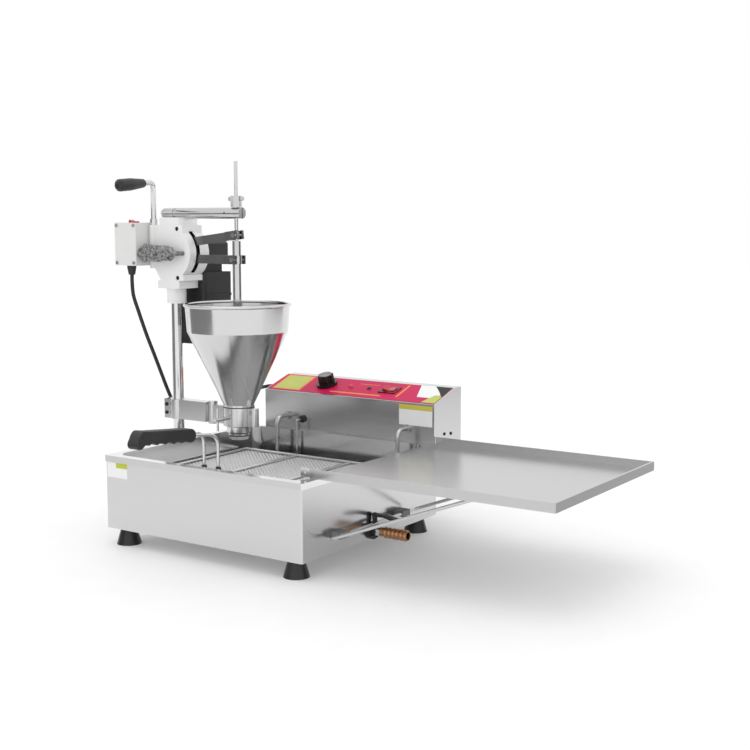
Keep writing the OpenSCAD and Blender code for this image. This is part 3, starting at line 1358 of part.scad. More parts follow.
module switch_box_lid() color("whitesmoke") at_column() difference() {
    block([box_x0, box_y0, box_z0], [box_x1, box_y0 + lid_t, box_z0 + box_h]);
    lid_places() translate([0, 0, -over]) cylinder(h = lid_t + 2 * over, d = lid_bolt_d + 2 * bolt_gap);
}
module lid_screws() color("silver") at_column() lid_places() {
    translate([0, 0, -lid_head_h]) cylinder(h = lid_head_h, d = lid_head_d);
    translate([0, 0, -lid_head_h]) cylinder(h = lid_head_h + lid_bolt_l, d = lid_bolt_d);
}
module head_rocker() color("red") at_column() translate([top_rocker_x, top_rocker_y, box_z0 + box_h])
    rocker(top_rocker_w, top_rocker_l, top_rocker_a, 0, top_rocker_dip);

module cord_gland() color("black") at_column() translate([gland_x, gland_y, box_z0]) difference() {
    union() {
        translate([0, 0, -cord_gland_neck]) cylinder(h = cord_gland_neck, d = cord_gland_d);
        translate([0, 0, -cord_gland_h])
            cylinder(h = cord_gland_h - cord_gland_neck, d1 = cord_gland_tip_d, d2 = cord_gland_d);
        translate([0, 0, -over]) cylinder(h = box_t + over, d = cord_gland_tip_d);
    }
    translate([0, 0, -cord_gland_h / 2]) cylinder(h = cord_gland_h, d = cord_d);
}

// Ribbed conduit from the switch box to the housing's front
module wiring_conduit() color("dimgray") at_column() {
    run = conduit_x1 - conduit_cone_l - box_x1 - conduit_nut_l;
    pitch = run / conduit_ribs;
    translate([box_x1, conduit_y, conduit_z]) along_x() rotate_extrude() {
        r0 = conduit_bore / 2;
        r1 = conduit_d / 2;
        nut = conduit_nut_d / 2;
        z1 = conduit_nut_l + run;
        polygon(concat([[r0, 0], [nut, 0], [nut, conduit_nut_l], [r1, conduit_nut_l]],
            [for (i = [0 : conduit_ribs - 1], p = rib_shares)
                [r1 + p[0] * conduit_rib, conduit_nut_l + (i + p[1]) * pitch]],
            [[r1, z1], [nut, z1], [conduit_elbow_d / 2, z1 + conduit_cone_l], [r0, z1 + conduit_cone_l]]));
    }
    translate([conduit_x1, conduit_y, conduit_z]) {
        sphere(d = conduit_elbow_d);
        along_y() cylinder(h = front_y0 - conduit_y, d = conduit_elbow_d);
    }
}

// Swing handle
module at_swing() at_column() translate([post_x, post_y, swing_top]) rotate([swing_droop, 0, 0]) children();
module swing_handle() color("silver") at_column() translate([post_x, post_y, house_top]) {
    translate([0, 0, -swing_sink]) crook(swing_rise + swing_sink - swing_cut, swing_bend_r, 90 + swing_droop,
        swing_stub + swing_grip_l / 2 - swing_cut - seat_gap, swing_d);
    cylinder(h = swing_collar_h, d = swing_collar_d);
}
module swing_grip() color("black") at_swing() rotate([180, 0, 0]) along_y() translate([0, 0, swing_stub])
    difference() {
        rotate_extrude() {
            r0 = swing_grip_root_d / 2;
            r1 = swing_grip_d / 2;
            polygon([[0, 0], [r0, 0], [r1, swing_grip_l / 2], [r1, swing_grip_l - r1 / 2],
                [r1 / 2, swing_grip_l], [0, swing_grip_l]]);
        }
        translate([0, 0, -over]) cylinder(h = swing_grip_l / 2 + over, d = swing_d + 2 * seat_gap);
    }

outer_casing();
oil_pan();
rubber_feet();
foot_screws();
control_housing();
control_back_cover();
control_screws();
panel_overlay();
thermostat();
indicator_lamps();
main_switch_bezel();
heating_element();
element_glands();
thermostat_probe();
drain_pipe();
drain_valve_body();
drain_collar();
drain_spout();
column_socket();
socket_bolts();
power_cord();
temperature_knob();
main_rocker();
drain_lever();
screen_frame();
screen_net();
screen_handle();
handle_sleeves();
screen_grip();
drain_tray();
tray_brace();
brace_pads();
column();
lower_arm();
arm_bolts();
nozzle_cylinder();
clamp_screw();
hopper();
gear_housing_rear();
gear_housing_front();
housing_screws();
lever_pivots();
gearhead();
motor();
guide_arm();
switch_box();
switch_box_lid();
lid_screws();
cord_gland();
wiring_conduit();
swing_handle();
swing_grip();
camshaft();
upper_lever();
lower_lever();
plunger_rod();
plunger_tube();
piston();
stop_collar();
head_rocker();
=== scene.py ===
import math
import random

import bmesh
import bpy
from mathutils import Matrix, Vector


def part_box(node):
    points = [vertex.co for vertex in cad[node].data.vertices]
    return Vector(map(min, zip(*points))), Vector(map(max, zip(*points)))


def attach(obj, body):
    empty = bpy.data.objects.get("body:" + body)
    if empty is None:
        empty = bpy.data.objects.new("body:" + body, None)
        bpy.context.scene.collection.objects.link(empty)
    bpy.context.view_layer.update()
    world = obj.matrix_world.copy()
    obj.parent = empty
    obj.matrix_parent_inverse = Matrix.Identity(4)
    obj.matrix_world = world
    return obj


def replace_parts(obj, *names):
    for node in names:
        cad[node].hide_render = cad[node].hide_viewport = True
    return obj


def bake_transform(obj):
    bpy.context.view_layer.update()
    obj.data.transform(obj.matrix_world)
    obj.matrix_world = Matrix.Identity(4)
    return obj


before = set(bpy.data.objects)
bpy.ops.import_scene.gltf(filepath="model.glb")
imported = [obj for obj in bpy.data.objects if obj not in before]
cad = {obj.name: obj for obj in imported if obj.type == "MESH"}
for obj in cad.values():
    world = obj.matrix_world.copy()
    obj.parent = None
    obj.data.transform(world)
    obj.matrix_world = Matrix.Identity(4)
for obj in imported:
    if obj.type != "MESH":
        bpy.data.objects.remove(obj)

scene = bpy.context.scene
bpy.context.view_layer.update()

# The tank's own frame, in which sizes are taken, sits off the row frame by this much (mm)
DATUM = Vector((171.75, 195.993, 0.0))


def row(x, y, z):
    """A point of the tank's frame in millimetres, in the row frame in metres."""
    return (Vector((x, y, z)) - DATUM) / 1000.0


def in_metres(outline):
    """The (radius, height) pairs of an outline in millimetres, in metres."""
    return [(r / 1000, h / 1000) for r, h in outline]


# Axes of the depositor's column and of the drum of its gear housing (mm)
COLUMN_X = -264.5
COLUMN_Y = 235.0
DRUM_X = COLUMN_X + 8
DRUM_Z = 582

# Camera, fitted to the tank's corners, feet, tray and column in the photo

CAMERA_PLACE = row(1567.1, -1714.9, 645.8)
CAMERA_DIP = 7.05      # degrees below level
CAMERA_TURN = 34.06    # degrees round Z
CAMERA_LENS = 59.10    # mm
SENSOR_W = 36.0        # mm
VIEW_END = 60.0        # metres

camera = bpy.data.objects.new("camera", bpy.data.cameras.new("camera"))
scene.collection.objects.link(camera)
scene.camera = camera
camera.location = CAMERA_PLACE
camera.rotation_euler = (math.radians(90 - CAMERA_DIP), 0.0, math.radians(CAMERA_TURN))
camera.data.lens = CAMERA_LENS
camera.data.sensor_width = SENSOR_W
camera.data.clip_end = VIEW_END


# Shader nodes

def principled(name):
    """A new material with one shader: the material, its tree and the shader."""
    mat = bpy.data.materials.new(name)
    mat.use_nodes = True
    tree = mat.node_tree
    tree.nodes.clear()
    out = tree.nodes.new("ShaderNodeOutputMaterial")
    shader = tree.nodes.new("ShaderNodeBsdfPrincipled")
    tree.links.new(shader.outputs[0], out.inputs[0])
    return mat, tree, shader


def shader_of(mat):
    return next(n for n in mat.node_tree.nodes if n.type == "BSDF_PRINCIPLED")


def noise(tree, scale, stretch=(1, 1, 1), detail=4.0, rough=0.6):
    """Noise over the object's own coordinates, stretched along an axis for drawn or brushed lines."""
    where = tree.nodes.new("ShaderNodeTexCoord")
    spread = tree.nodes.new("ShaderNodeMapping")
    spread.inputs["Scale"].default_value = stretch
    tex = tree.nodes.new("ShaderNodeTexNoise")
    tex.inputs["Scale"].default_value = scale
    tex.inputs["Detail"].default_value = detail
    tex.inputs["Roughness"].default_value = rough
    tree.links.new(where.outputs["Object"], spread.inputs["Vector"])
    tree.links.new(spread.outputs["Vector"], tex.inputs["Vector"])
    return tex.outputs["Fac"]


def reckoned(tree, kind, a, b):
    """The outcome of a math node on the value a and on b, a value too or a number."""
    node = tree.nodes.new("ShaderNodeMath")
    node.operation = kind
    tree.links.new(a, node.inputs[0])
    if isinstance(b, float):
        node.inputs[1].default_value = b
    else:
        tree.links.new(b, node.inputs[1])
    return node.outputs[0]


def reckoned_vector(tree, kind, a, b=(0, 0, 0)):
    """A vector math node on the vector a and on b, a fixed one."""
    node = tree.nodes.new("ShaderNodeVectorMath")
    node.operation = kind
    node.inputs[1].default_value = b
    tree.links.new(a, node.inputs[0])
    return node


def spread_value(tree, fac, low, high, start=0.3, end=0.7):
    node = tree.nodes.new("ShaderNodeMapRange")
    for name, value in (("From Min", start), ("From Max", end), ("To Min", low), ("To Max", high)):
        node.inputs[name].default_value = value
    tree.links.new(fac, node.inputs["Value"])
    return node.outputs["Result"]


def spread_colour(tree, fac, low, high, start=0.3, end=0.7):
    node = tree.nodes.new("ShaderNodeValToRGB")
    node.color_ramp.elements[0].position = start
    node.color_ramp.elements[0].color = (*low, 1)
    node.color_ramp.elements[1].position = end
    node.color_ramp.elements[1].color = (*high, 1)
    tree.links.new(fac, node.inputs["Fac"])
    return node.outputs["Color"]


BUMP_DEPTH = 0.0002


def bumped(tree, shader, fac, strength):
    node = tree.nodes.new("ShaderNodeBump")
    node.inputs["Strength"].default_value = strength
    node.inputs["Distance"].default_value = BUMP_DEPTH
    tree.links.new(fac, node.inputs["Height"])
    tree.links.new(node.outputs["Normal"], shader.inputs["Normal"])


def joined(tree, a, b, share):
    """Two noises in one, b taking a share."""
    node = tree.nodes.new("ShaderNodeMix")
    node.inputs[0].default_value = share
    tree.links.new(a, node.inputs[2])
    tree.links.new(b, node.inputs[3])
    return node.outputs[0]


# Kinds of material

SMEAR_SHARE = 0.35     # of handling marks in a steel's tone, against its drawn lines
DRIFT_SCALE = 14.0     # of the slow colour drift in plastics
COAT_ROUGH = 0.12


def metal(name, low, high, rough, stretch, strength=0.08, cloud=9.0):
    """Steel with fine drawn lines along the axes that stretch leaves small, and faint handling marks."""
    mat, tree, shader = principled(name)
    fine = noise(tree, 1.0, stretch, detail=5.0, rough=0.65)
    smears = noise(tree, cloud, detail=3.0)
    both = joined(tree, fine, smears, SMEAR_SHARE)
    tree.links.new(spread_colour(tree, both, low, high), shader.inputs["Base Color"])
    tree.links.new(spread_value(tree, both, *rough), shader.inputs["Roughness"])
    shader.inputs["Metallic"].default_value = 1.0
    bumped(tree, shader, fine, strength)
    return mat


def plastic(name, low, high, rough, grain, strength, coat=0.0, level=0.5):
    """Moulded plastic, rubber, film or enamel: slight colour drift, a fine grain, uneven gloss."""
    mat, tree, shader = principled(name)
    drift = noise(tree, DRIFT_SCALE)
    fine = noise(tree, grain, detail=2.0)
    tree.links.new(spread_colour(tree, drift, low, high), shader.inputs["Base Color"])
    gloss = spread_value(tree, joined(tree, drift, fine, 0.5), *rough)
    tree.links.new(gloss, shader.inputs["Roughness"])
    shader.inputs["Coat Weight"].default_value = coat
    shader.inputs["Coat Roughness"].default_value = COAT_ROUGH
    shader.inputs["Specular IOR Level"].default_value = level
    bumped(tree, shader, fine, strength)
    return mat


def film(name, low, high, level):
    """Printed film, with a satin face that mirrors little."""
    return plastic(name, low, high, (0.34, 0.44), 1400.0, 0.05, level=level)


def grey(v):
    """The faintly cool grey of the steels."""
    return (v, v, v * 1.005)


def neutral(v):
    return (v, v, v)


def even(n):
    """A stretch that makes noise equally fine along every axis."""
    return (n, n, n)


# Near-black painted shade for the inside of the gear housing, seen through the slot between its halves.
INSIDE_SHADE = (*neutral(0.012), 1)


def painted_shade_inside(mat, centre, radius, depth):
    """Painted shade on the inside of the gear housing, so the slot between its halves shows dark: within a
    radius of its drum's axis, on its right half and over a stretch of Y.
    """
    tree = mat.node_tree
    shader = shader_of(mat)
    where = tree.nodes.new("ShaderNodeTexCoord")
    off = reckoned_vector(tree, "SUBTRACT", where.outputs["Object"], centre)
    flat = reckoned_vector(tree, "MULTIPLY", off.outputs[0], (1, 0, 1))
    size = reckoned_vector(tree, "LENGTH", flat.outputs[0])
    parts = tree.nodes.new("ShaderNodeSeparateXYZ")
    tree.links.new(off.outputs[0], parts.inputs[0])
    inside = reckoned(tree, "LESS_THAN", size.outputs["Value"], radius)
    for axis, kind, limit in (("X", "GREATER_THAN", 0.0), ("Y", "GREATER_THAN", depth[0]),
                              ("Y", "LESS_THAN", depth[1])):
        inside = reckoned(tree, "MULTIPLY", inside, reckoned(tree, kind, parts.outputs[axis], limit))
    paint = shader.inputs["Base Color"].links[0].from_socket
    mix = tree.nodes.new("ShaderNodeMix")
    mix.data_type = "RGBA"
    mix.inputs["B"].default_value = INSIDE_SHADE
    tree.links.new(inside, mix.inputs["Factor"])
    tree.links.new(paint, mix.inputs["A"])
    tree.links.new(mix.outputs["Result"], shader.inputs["Base Color"])


def painted_shade_by_facing(mat, axis, along, start, end):
    """Painted shade in a steel's base colour by the way a face looks: whole brightness on faces across an
    axis, and a share of it on faces that look along it.
    """
    tree = mat.node_tree
    shader = shader_of(mat)
    facing = tree.nodes.new("ShaderNodeNewGeometry")
    parts = tree.nodes.new("ShaderNodeSeparateXYZ")
    tree.links.new(facing.outputs["True Normal"], parts.inputs[0])
    size = reckoned(tree, "ABSOLUTE", parts.outputs[axis], 0.0)
    paint = shader.inputs["Base Color"].links[0].from_socket
    tone = reckoned_vector(tree, "SCALE", paint)
    tree.links.new(spread_value(tree, size, 1.0, along, start, end), tone.inputs["Scale"])
    tree.links.new(tone.outputs[0], shader.inputs["Base Color"])


# Materials

LEVEL = (6, 6, 900)      # lines that run round upright walls
ACROSS = (6, 900, 6)     # lines along X
UPRIGHT = (700, 700, 8)  # lines along Z
POLISHED = even(25)      # only faint clouds

steel_wall = metal("steel_wall", grey(0.645), grey(0.665), (0.18, 0.23), LEVEL, strength=0.006)
steel_pan = metal("steel_pan", grey(0.80), grey(0.83), (0.14, 0.19), LEVEL, strength=0.004)
# Painted shade: the pan's faces that look along Y are darker.
painted_shade_by_facing(steel_pan, "Y", 0.74, 0.8, 0.95)
steel_tray = metal("steel_tray", grey(0.55), grey(0.565), (0.25, 0.27), ACROSS, strength=0.003)
# Painted shade: the tray's rims that look along X are darker.
painted_shade_by_facing(steel_tray, "X", 0.52, 0.3, 0.7)
steel_head = metal("steel_head", grey(0.62), grey(0.65), (0.20, 0.26), LEVEL, strength=0.006)
# Painted shade: the control head's faces that look along Y are darker.
painted_shade_by_facing(steel_head, "Y", 0.82, 0.8, 0.95)
steel_arm = metal("steel_arm", grey(0.66), grey(0.70), (0.16, 0.22), ACROSS, strength=0.006)
# Painted shade: the lower arm's faces that look along Y are darker.
painted_shade_by_facing(steel_arm, "Y", 0.80, 0.86, 0.97)
steel_bar = metal("steel_bar", grey(0.56), grey(0.61), (0.16, 0.22), ACROSS, strength=0.01)
steel_cone = metal("steel_cone", grey(0.65), grey(0.67), (0.14, 0.16), POLISHED, strength=0.002)
steel_nozzle = metal("steel_nozzle", grey(0.66), grey(0.70), (0.10, 0.13), POLISHED, strength=0.002)
chrome = metal("chrome", grey(0.72), grey(0.76), (0.07, 0.11), UPRIGHT, strength=0.01)
steel_rod = metal("steel_rod", grey(0.62), grey(0.68), (0.10, 0.15), UPRIGHT, strength=0.02)
steel_tube = metal("steel_tube", grey(0.60), grey(0.66), (0.10, 0.15), UPRIGHT, strength=0.02)
steel_wire = metal("steel_wire", grey(0.62), grey(0.70), (0.16, 0.24), even(300), strength=0.02)
steel_net = metal("steel_net", grey(0.76), grey(0.82), (0.3, 0.4), even(300), strength=0.02)
steel_lever = metal("steel_lever", grey(0.17), grey(0.23), (0.26, 0.36), ACROSS, strength=0.03)
steel_bolt = metal("steel_bolt", grey(0.5), grey(0.6), (0.25, 0.36), even(400), strength=0.03)
steel_dark = metal("steel_dark", grey(0.03), grey(0.06), (0.35, 0.5), even(300), strength=0.03)
element_metal = metal("element_metal", grey(0.50), grey(0.62), (0.24, 0.36), even(40), 0.05, cloud=60.0)
copper = metal("copper", (0.40, 0.19, 0.09), (0.62, 0.34, 0.18), (0.22, 0.4), even(60), cloud=70.0)
probe_steel = metal("probe_steel", grey(0.58), grey(0.68), (0.16, 0.24), even(200), strength=0.03)
foil = metal("foil", grey(0.02), grey(0.50), (0.22, 0.36), even(140), strength=0.1, cloud=240.0)
cap_metal = metal("cap_metal", grey(0.20), grey(0.30), (0.18, 0.28), even(200), strength=0.03)

enamel_white = plastic("enamel_white", (0.89, 0.89, 0.885), (0.92, 0.92, 0.915), (0.28, 0.4), 700.0, 0.04)
# Painted shade inside the gear housing's drum, on the white enamel.
painted_shade_inside(enamel_white, row(DRUM_X, COLUMN_Y, DRUM_Z), radius=0.0556, depth=(-0.0215, 0.0295))
enamel_black = plastic("enamel_black", (0.012, 0.012, 0.013), (0.022, 0.022, 0.023), (0.34, 0.48), 900.0,
                       0.15)
box_grey = plastic("box_grey", (0.76, 0.76, 0.75), (0.80, 0.80, 0.79), (0.35, 0.48), 1500.0, 0.1)
plastic_black = plastic("plastic_black", neutral(0.014), neutral(0.026), (0.36, 0.5), 2400.0, 0.2)
plastic_white = plastic("plastic_white", (0.78, 0.78, 0.76), (0.84, 0.84, 0.82), (0.35, 0.45), 1500.0, 0.08)
rubber_black = plastic("rubber_black", neutral(0.010), neutral(0.018), (0.26, 0.36), 1600.0, 0.1)
rubber_grey = plastic("rubber_grey", neutral(0.2), neutral(0.28), (0.5, 0.65), 1600.0, 0.2, level=0.35)
knob_black = plastic("knob_black", neutral(0.008), neutral(0.014), (0.16, 0.24), 1200.0, 0.05)
cord_black = plastic("cord_black", neutral(0.012), neutral(0.02), (0.4, 0.52), 2000.0, 0.15)
gloss_red = plastic("gloss_red", (0.44, 0.014, 0.03), (0.54, 0.024, 0.045), (0.16, 0.24), 600.0, 0.03, 0.3)
bezel_red = plastic("bezel_red", (0.10, 0.008, 0.016), (0.16, 0.012, 0.024), (0.2, 0.3), 900.0, 0.05)
lamp_red = plastic("lamp_red", (0.56, 0.02, 0.03), (0.66, 0.04, 0.05), (0.1, 0.18), 500.0, 0.02, 0.4)
lamp_dark = plastic("lamp_dark", (0.05, 0.006, 0.008), (0.08, 0.010, 0.012), (0.1, 0.18), 500.0, 0.02, 0.4)
film_red = film("film_red", (0.56, 0.010, 0.085), (0.63, 0.014, 0.105), 0.12)
film_lime = film("film_lime", (0.46, 0.58, 0.12), (0.60, 0.60, 0.16), 0.15)
film_orange = film("film_orange", (0.82, 0.27, 0.06), (0.88, 0.34, 0.09), 0.15)
film_black = film("film_black", (0.012, 0.016, 0.016), (0.02, 0.026, 0.026), 0.15)
film_yellow = film("film_yellow", (0.64, 0.56, 0.08), (0.72, 0.64, 0.11), 0.2)
film_white = film("film_white", (0.88, 0.89, 0.88), (0.91, 0.92, 0.91), 0.2)
film_fresh = film("film_fresh", (0.50, 0.54, 0.05), (0.58, 0.62, 0.08), 0.2)

DRESS = {
    steel_wall: "outer_casing column_socket drain_pipe",
    steel_pan: "oil_pan",
    steel_tray: "drain_tray",
    steel_head: "control_housing control_back_cover",
    steel_arm: "lower_arm",
    steel_bar: "guide_arm",
    steel_cone: "hopper",
    steel_nozzle: "nozzle_cylinder",
    chrome: "column swing_handle",
    steel_rod: "plunger_rod clamp_screw drain_collar",
    steel_tube: "plunger_tube stop_collar",
    steel_wire: "screen_frame screen_handle tray_brace",
    steel_net: "screen_net",
    steel_lever: "upper_lever lower_lever camshaft",
    steel_bolt: "foot_screws control_screws socket_bolts lid_screws lever_pivots element_glands",
    steel_dark: "housing_screws arm_bolts",
    element_metal: "heating_element",
    copper: "drain_spout",
    probe_steel: "thermostat_probe",
    foil: "wiring_conduit",
    enamel_white: "gear_housing_rear gear_housing_front",
    box_grey: "switch_box switch_box_lid",
    enamel_black: "gearhead motor",
    plastic_black: "thermostat drain_valve_body drain_lever screen_grip cord_gland swing_grip",
    knob_black: "temperature_knob",
    bezel_red: "main_switch_bezel",
    rubber_black: "rubber_feet power_cord handle_sleeves",
    rubber_grey: "brace_pads",
    gloss_red: "main_rocker head_rocker",
    lamp_red: "indicator_lamps",
    film_red: "panel_overlay",
    plastic_white: "piston",
}
for mat, names in DRESS.items():
    for name in names.split():
        cad[name].data.materials.clear()
        cad[name].data.materials.append(mat)


# Making pieces

def linked(name, mesh):
    obj = bpy.data.objects.new(name, mesh)
    scene.collection.objects.link(obj)
    return obj


def piece(name, bm, mat, body, smooth=True):
    """A new piece from a finished bmesh, riding on a body if one is given."""
    mesh = bpy.data.meshes.new(name)
    bmesh.ops.recalc_face_normals(bm, faces=bm.faces)
    bm.to_mesh(mesh)
    bm.free()
    mesh.materials.append(mat)
    if smooth:
        mesh.shade_smooth()
    obj = linked(name, mesh)
    if body:
        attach(obj, body)
    return obj


def rounded(name, node, mat, body, voxel, turns, bend=None):
    """A copy of a moulded CAD piece with its edges eased, and its points moved by bend."""
    mesh = cad[node].data.copy()
    obj = linked(name, mesh)
    remesh = obj.modifiers.new("remesh", "REMESH")
    remesh.mode = "VOXEL"
    remesh.voxel_size = voxel
    ease = obj.modifiers.new("ease", "SMOOTH")
    ease.factor = 0.5
    ease.iterations = turns
    made = bpy.data.meshes.new_from_object(obj.evaluated_get(bpy.context.evaluated_depsgraph_get()))
    obj.modifiers.clear()
    obj.data = made
    bpy.data.meshes.remove(mesh)
    made.materials.clear()
    made.materials.append(mat)
    if bend:
        for v in made.vertices:
            v.co = bend(v.co)
    made.shade_smooth()
    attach(obj, body)
    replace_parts(obj, node)


def smooth_path(points, steps):
    """Points along the smooth curve through the given ones."""
    pts = [2 * points[0] - points[1]] + points + [2 * points[-1] - points[-2]]
    line = []
    for i in range(1, len(pts) - 2):
        a, b, c, d = pts[i - 1:i + 3]
        for k in range(steps):
            t = k / steps
            line.append(0.5 * (2 * b + (c - a) * t + (2 * a - 5 * b + 4 * c - d) * t * t
                               + (3 * b - a - 3 * c + d) * t ** 3))
    return line + [points[-1]]


def angles(sides):
    return [2 * math.pi * k / sides for k in range(sides)]


def walled(bm, rings):
    """Faces from each ring of points to the next."""
    for a, b in zip(rings, rings[1:]):
        for k in range(len(a)):
            j = (k + 1) % len(a)
            bm.faces.new((a[k], a[j], b[j], b[k]))


def capped(bm, rings):
    bm.faces.new(rings[0][::-1])
    bm.faces.new(rings[-1])


def tube(bm, line, radius, sides):
    """A tube along a line, closed at both ends: radius is a function of the point and the angle."""
    rings = []
    normal = None
    for i, p in enumerate(line):
        u = (line[min(i + 1, len(line) - 1)] - line[max(i - 1, 0)]).normalized()
        if normal is None:
            normal = u.cross(Vector((0, 0, 1)) if abs(u.z) < 0.9 else Vector((1, 0, 0))).normalized()
        normal = (normal - u * normal.dot(u)).normalized()
        side = u.cross(normal)
        rings.append([bm.verts.new(p + radius(i, w) * (math.cos(w) * normal + math.sin(w) * side))
                      for w in angles(sides)])
    walled(bm, rings)
    capped(bm, rings)


def round_wire(bm, line, diameter, sides):
    tube(bm, line, lambda i, w: diameter / 2, sides)


def turned(bm, origin, axis, outline, sides=32):
    """A body of revolution: outline is (radius, height) pairs along the axis, closed at both ends."""
    axis = Vector(axis).normalized()
    x = axis.orthogonal().normalized()
    y = axis.cross(x)
    rings = [[bm.verts.new(origin + axis * h + r * (math.cos(w) * x + math.sin(w) * y))
              for w in angles(sides)] for r, h in outline]
    walled(bm, rings)
    capped(bm, rings)


def hoop(bm, origin, outline, sides=48):
    """A ring round the upright axis through origin: outline is (radius, height) pairs round its section."""
    rings = [[bm.verts.new(origin + Vector((r * math.cos(w), r * math.sin(w), h))) for w in angles(sides)]
             for r, h in outline]
    walled(bm, rings + rings[:1])


def plate(bm, corners, out, thick):
    """A thin flat plate with the given corners, raised by its thickness along out."""
    low = [bm.verts.new(p) for p in corners]
    high = [bm.verts.new(p + out * thick) for p in corners]
    capped(bm, [low, high])
    walled(bm, [low, high])


CUT_SHARE = 0.4816   # how far a holed plate's cut corners reach, of its diagonal


def holed(bm, centre, across, up, size, hole, thick, sides=32):
    """A plate with cut corners and a round hole, from points on its edge and points round the hole."""
    out = across.cross(up)
    rings = []
    for h in (0.0, thick):
        rim, bore = [], []
        for k in range(sides):
            w = 2 * math.pi * (k + 0.5) / sides
            c, n = math.cos(w), math.sin(w)
            reach = min(size[0] / 2 / abs(c), size[1] / 2 / abs(n), CUT_SHARE * math.hypot(*size))
            rim.append(bm.verts.new(centre + reach * (c * across + n * up) + h * out))
            bore.append(bm.verts.new(centre + hole * (c * across + n * up) + h * out))
        rings.append((rim, bore))
    (low_rim, low_bore), (high_rim, high_bore) = rings
    sheets = ((low_bore, low_rim), (high_rim, high_bore), (low_rim, high_rim), (high_bore, low_bore))
    for k in range(sides):
        j = (k + 1) % sides
        for a, b in sheets:
            bm.faces.new((a[k], a[j], b[j], b[k]))


# Cord

CORD_ROUTE = [row(*p) for p in (
    (-355, 194, 535), (-355, 194, 517), (-354, 196, 490), (-347, 202, 458), (-335, 213, 406),
    (-326, 226, 362), (-320, 240, 321), (-317, 254, 286), (-317, 269, 259), (-316, 287, 238),
    (-312, 308, 225), (-305, 332, 218), (-297, 358, 217), (-287, 386, 223), (-277, 414, 232),
    (-268, 439, 243), (-261, 462, 253), (-256, 484, 260), (-250, 502, 264), (-243, 514, 266),
    (-234, 523, 267), (-225, 528, 268), (-216, 530, 268), (-208, 530, 268))]
CORD_D = 0.008
CORD_STEPS = 6    # from one point of the route to the next
CORD_SIDES = 16

cord_line = smooth_path(CORD_ROUTE, CORD_STEPS)
bm = bmesh.new()
round_wire(bm, cord_line, CORD_D, CORD_SIDES)
flex = piece("flex", bm, cord_black, None)
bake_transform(flex)
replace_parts(flex, "power_cord")

# Frying net: a plain weave, in which every wire rises over one crossing wire and dips under the next

NET_PITCH = 0.0052
NET_WIRE = 0.0023
NET_RISE = 0.42 * NET_WIRE
NET_SIDES = 4

(NET_X0, NET_Y0, NET_Z0), (NET_X1, NET_Y1, NET_Z1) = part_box("screen_net")
NET_MID = (NET_Z0 + NET_Z1) / 2


def net_wires(bm, a_span, b_span, crossings, count, first, point):
    """Wires that run along a, side by side along b: point makes a place from a, b and the height."""
    for i in range(count + 1):
        b = b_span[0] + (b_span[1] - b_span[0]) * i / count
        line = []
        for k in range(crossings + 1):
            a = a_span[0] + (a_span[1] - a_span[0]) * k / crossings
            line.append(point(a, b, NET_MID + NET_RISE * (1 if (i + k + first) % 2 else -1)))
        round_wire(bm, line, NET_WIRE, NET_SIDES)


net_nx = round((NET_X1 - NET_X0) / NET_PITCH)
net_ny = round((NET_Y1 - NET_Y0) / NET_PITCH)
bm = bmesh.new()
net_wires(bm, (NET_X0, NET_X1), (NET_Y0, NET_Y1), net_nx, net_ny, 0, lambda a, b, z: Vector((a, b, z)))
net_wires(bm, (NET_Y0, NET_Y1), (NET_X0, NET_X1), net_ny, net_nx, 1, lambda a, b, z: Vector((b, a, z)))
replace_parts(piece("woven_net", bm, steel_net, "screen"), "screen_net")

# Grips

(_, GRIP_Y0, GRIP_Z0), (_, _, GRIP_Z1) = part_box("screen_grip")
GRIP_H = GRIP_Z1 - GRIP_Z0
HOOK_L = 0.040       # length of the grip's end that leans
HOOK_LIFT = 0.002    # of its lower edge
HOOK_LEAN = 0.44     # of its upper edge, as a share of the grip's height


def leaning_end(p):
    """The end of the grip slants outward, as a stop for the hand."""
    share = min(1.0, max(0.0, 1.0 - (p.y - GRIP_Y0) / HOOK_L))
    low = (GRIP_Z1 - p.z) / GRIP_H
    return p + share * Vector((0, HOOK_LEAN * (1.0 - low) * GRIP_H, HOOK_LIFT * low))


rounded("screen_grip_moulded", "screen_grip", plastic_black, "screen", 0.0015, 8,
        leaning_end)
rounded("swing_grip_moulded", "swing_grip", plastic_black, "depositor", 0.0012, 10)

# Wiring sleeve, along the front of the gear housing and back into it (mm)

SLEEVE_X = COLUMN_X - 55     # where it starts, at the switch box
SLEEVE_Y = COLUMN_Y - 47     # its axis in front of the housing
SLEEVE_STEP = 2.75           # from one ring of points to the next
SLEEVE_RINGS = 35
SLEEVE_SIDES = 26
# Places along the sleeve and its radius there
SLEEVE_R = ((0, 11), (6, 14), (16, 16.5), (40, 16), (66, 15), (84, 13), (90, 9), (95, 5.2), (99, 4.8))
SLEEVE_L = SLEEVE_R[-1][0]
BEND_R = 6                   # of its turn into the housing
BEND_STEPS = 8
TAIL_STEP = 2.5
TAIL_STEPS = 6

# Strands that wind round the sleeve: depth as a share of its radius, count, mm to a radian of turn, start
STRANDS = ((0.09, 5, 7.0, 0.0), (0.06, 2, -5.2, 1.3))
DENT = 0.13                  # the most that a point is pushed in or out, as a share of the radius
PLAIN_FROM = 97              # where the folds have died out
PLAIN_FADE = 14              # over what length they die out
dents = random.Random(5)

bend_x = SLEEVE_X + SLEEVE_STEP * (SLEEVE_RINGS - 1)
bend_y = SLEEVE_Y + BEND_R
sleeve_line = [row(SLEEVE_X + SLEEVE_STEP * k, SLEEVE_Y, DRUM_Z) for k in range(SLEEVE_RINGS)]
for k in range(1, BEND_STEPS + 1):
    w = math.pi / 2 * k / BEND_STEPS
    sleeve_line.append(row(bend_x + BEND_R * math.sin(w), bend_y - BEND_R * math.cos(w), DRUM_Z))
for k in range(1, TAIL_STEPS + 1):
    sleeve_line.append(row(bend_x + BEND_R, bend_y + TAIL_STEP * k, DRUM_Z))


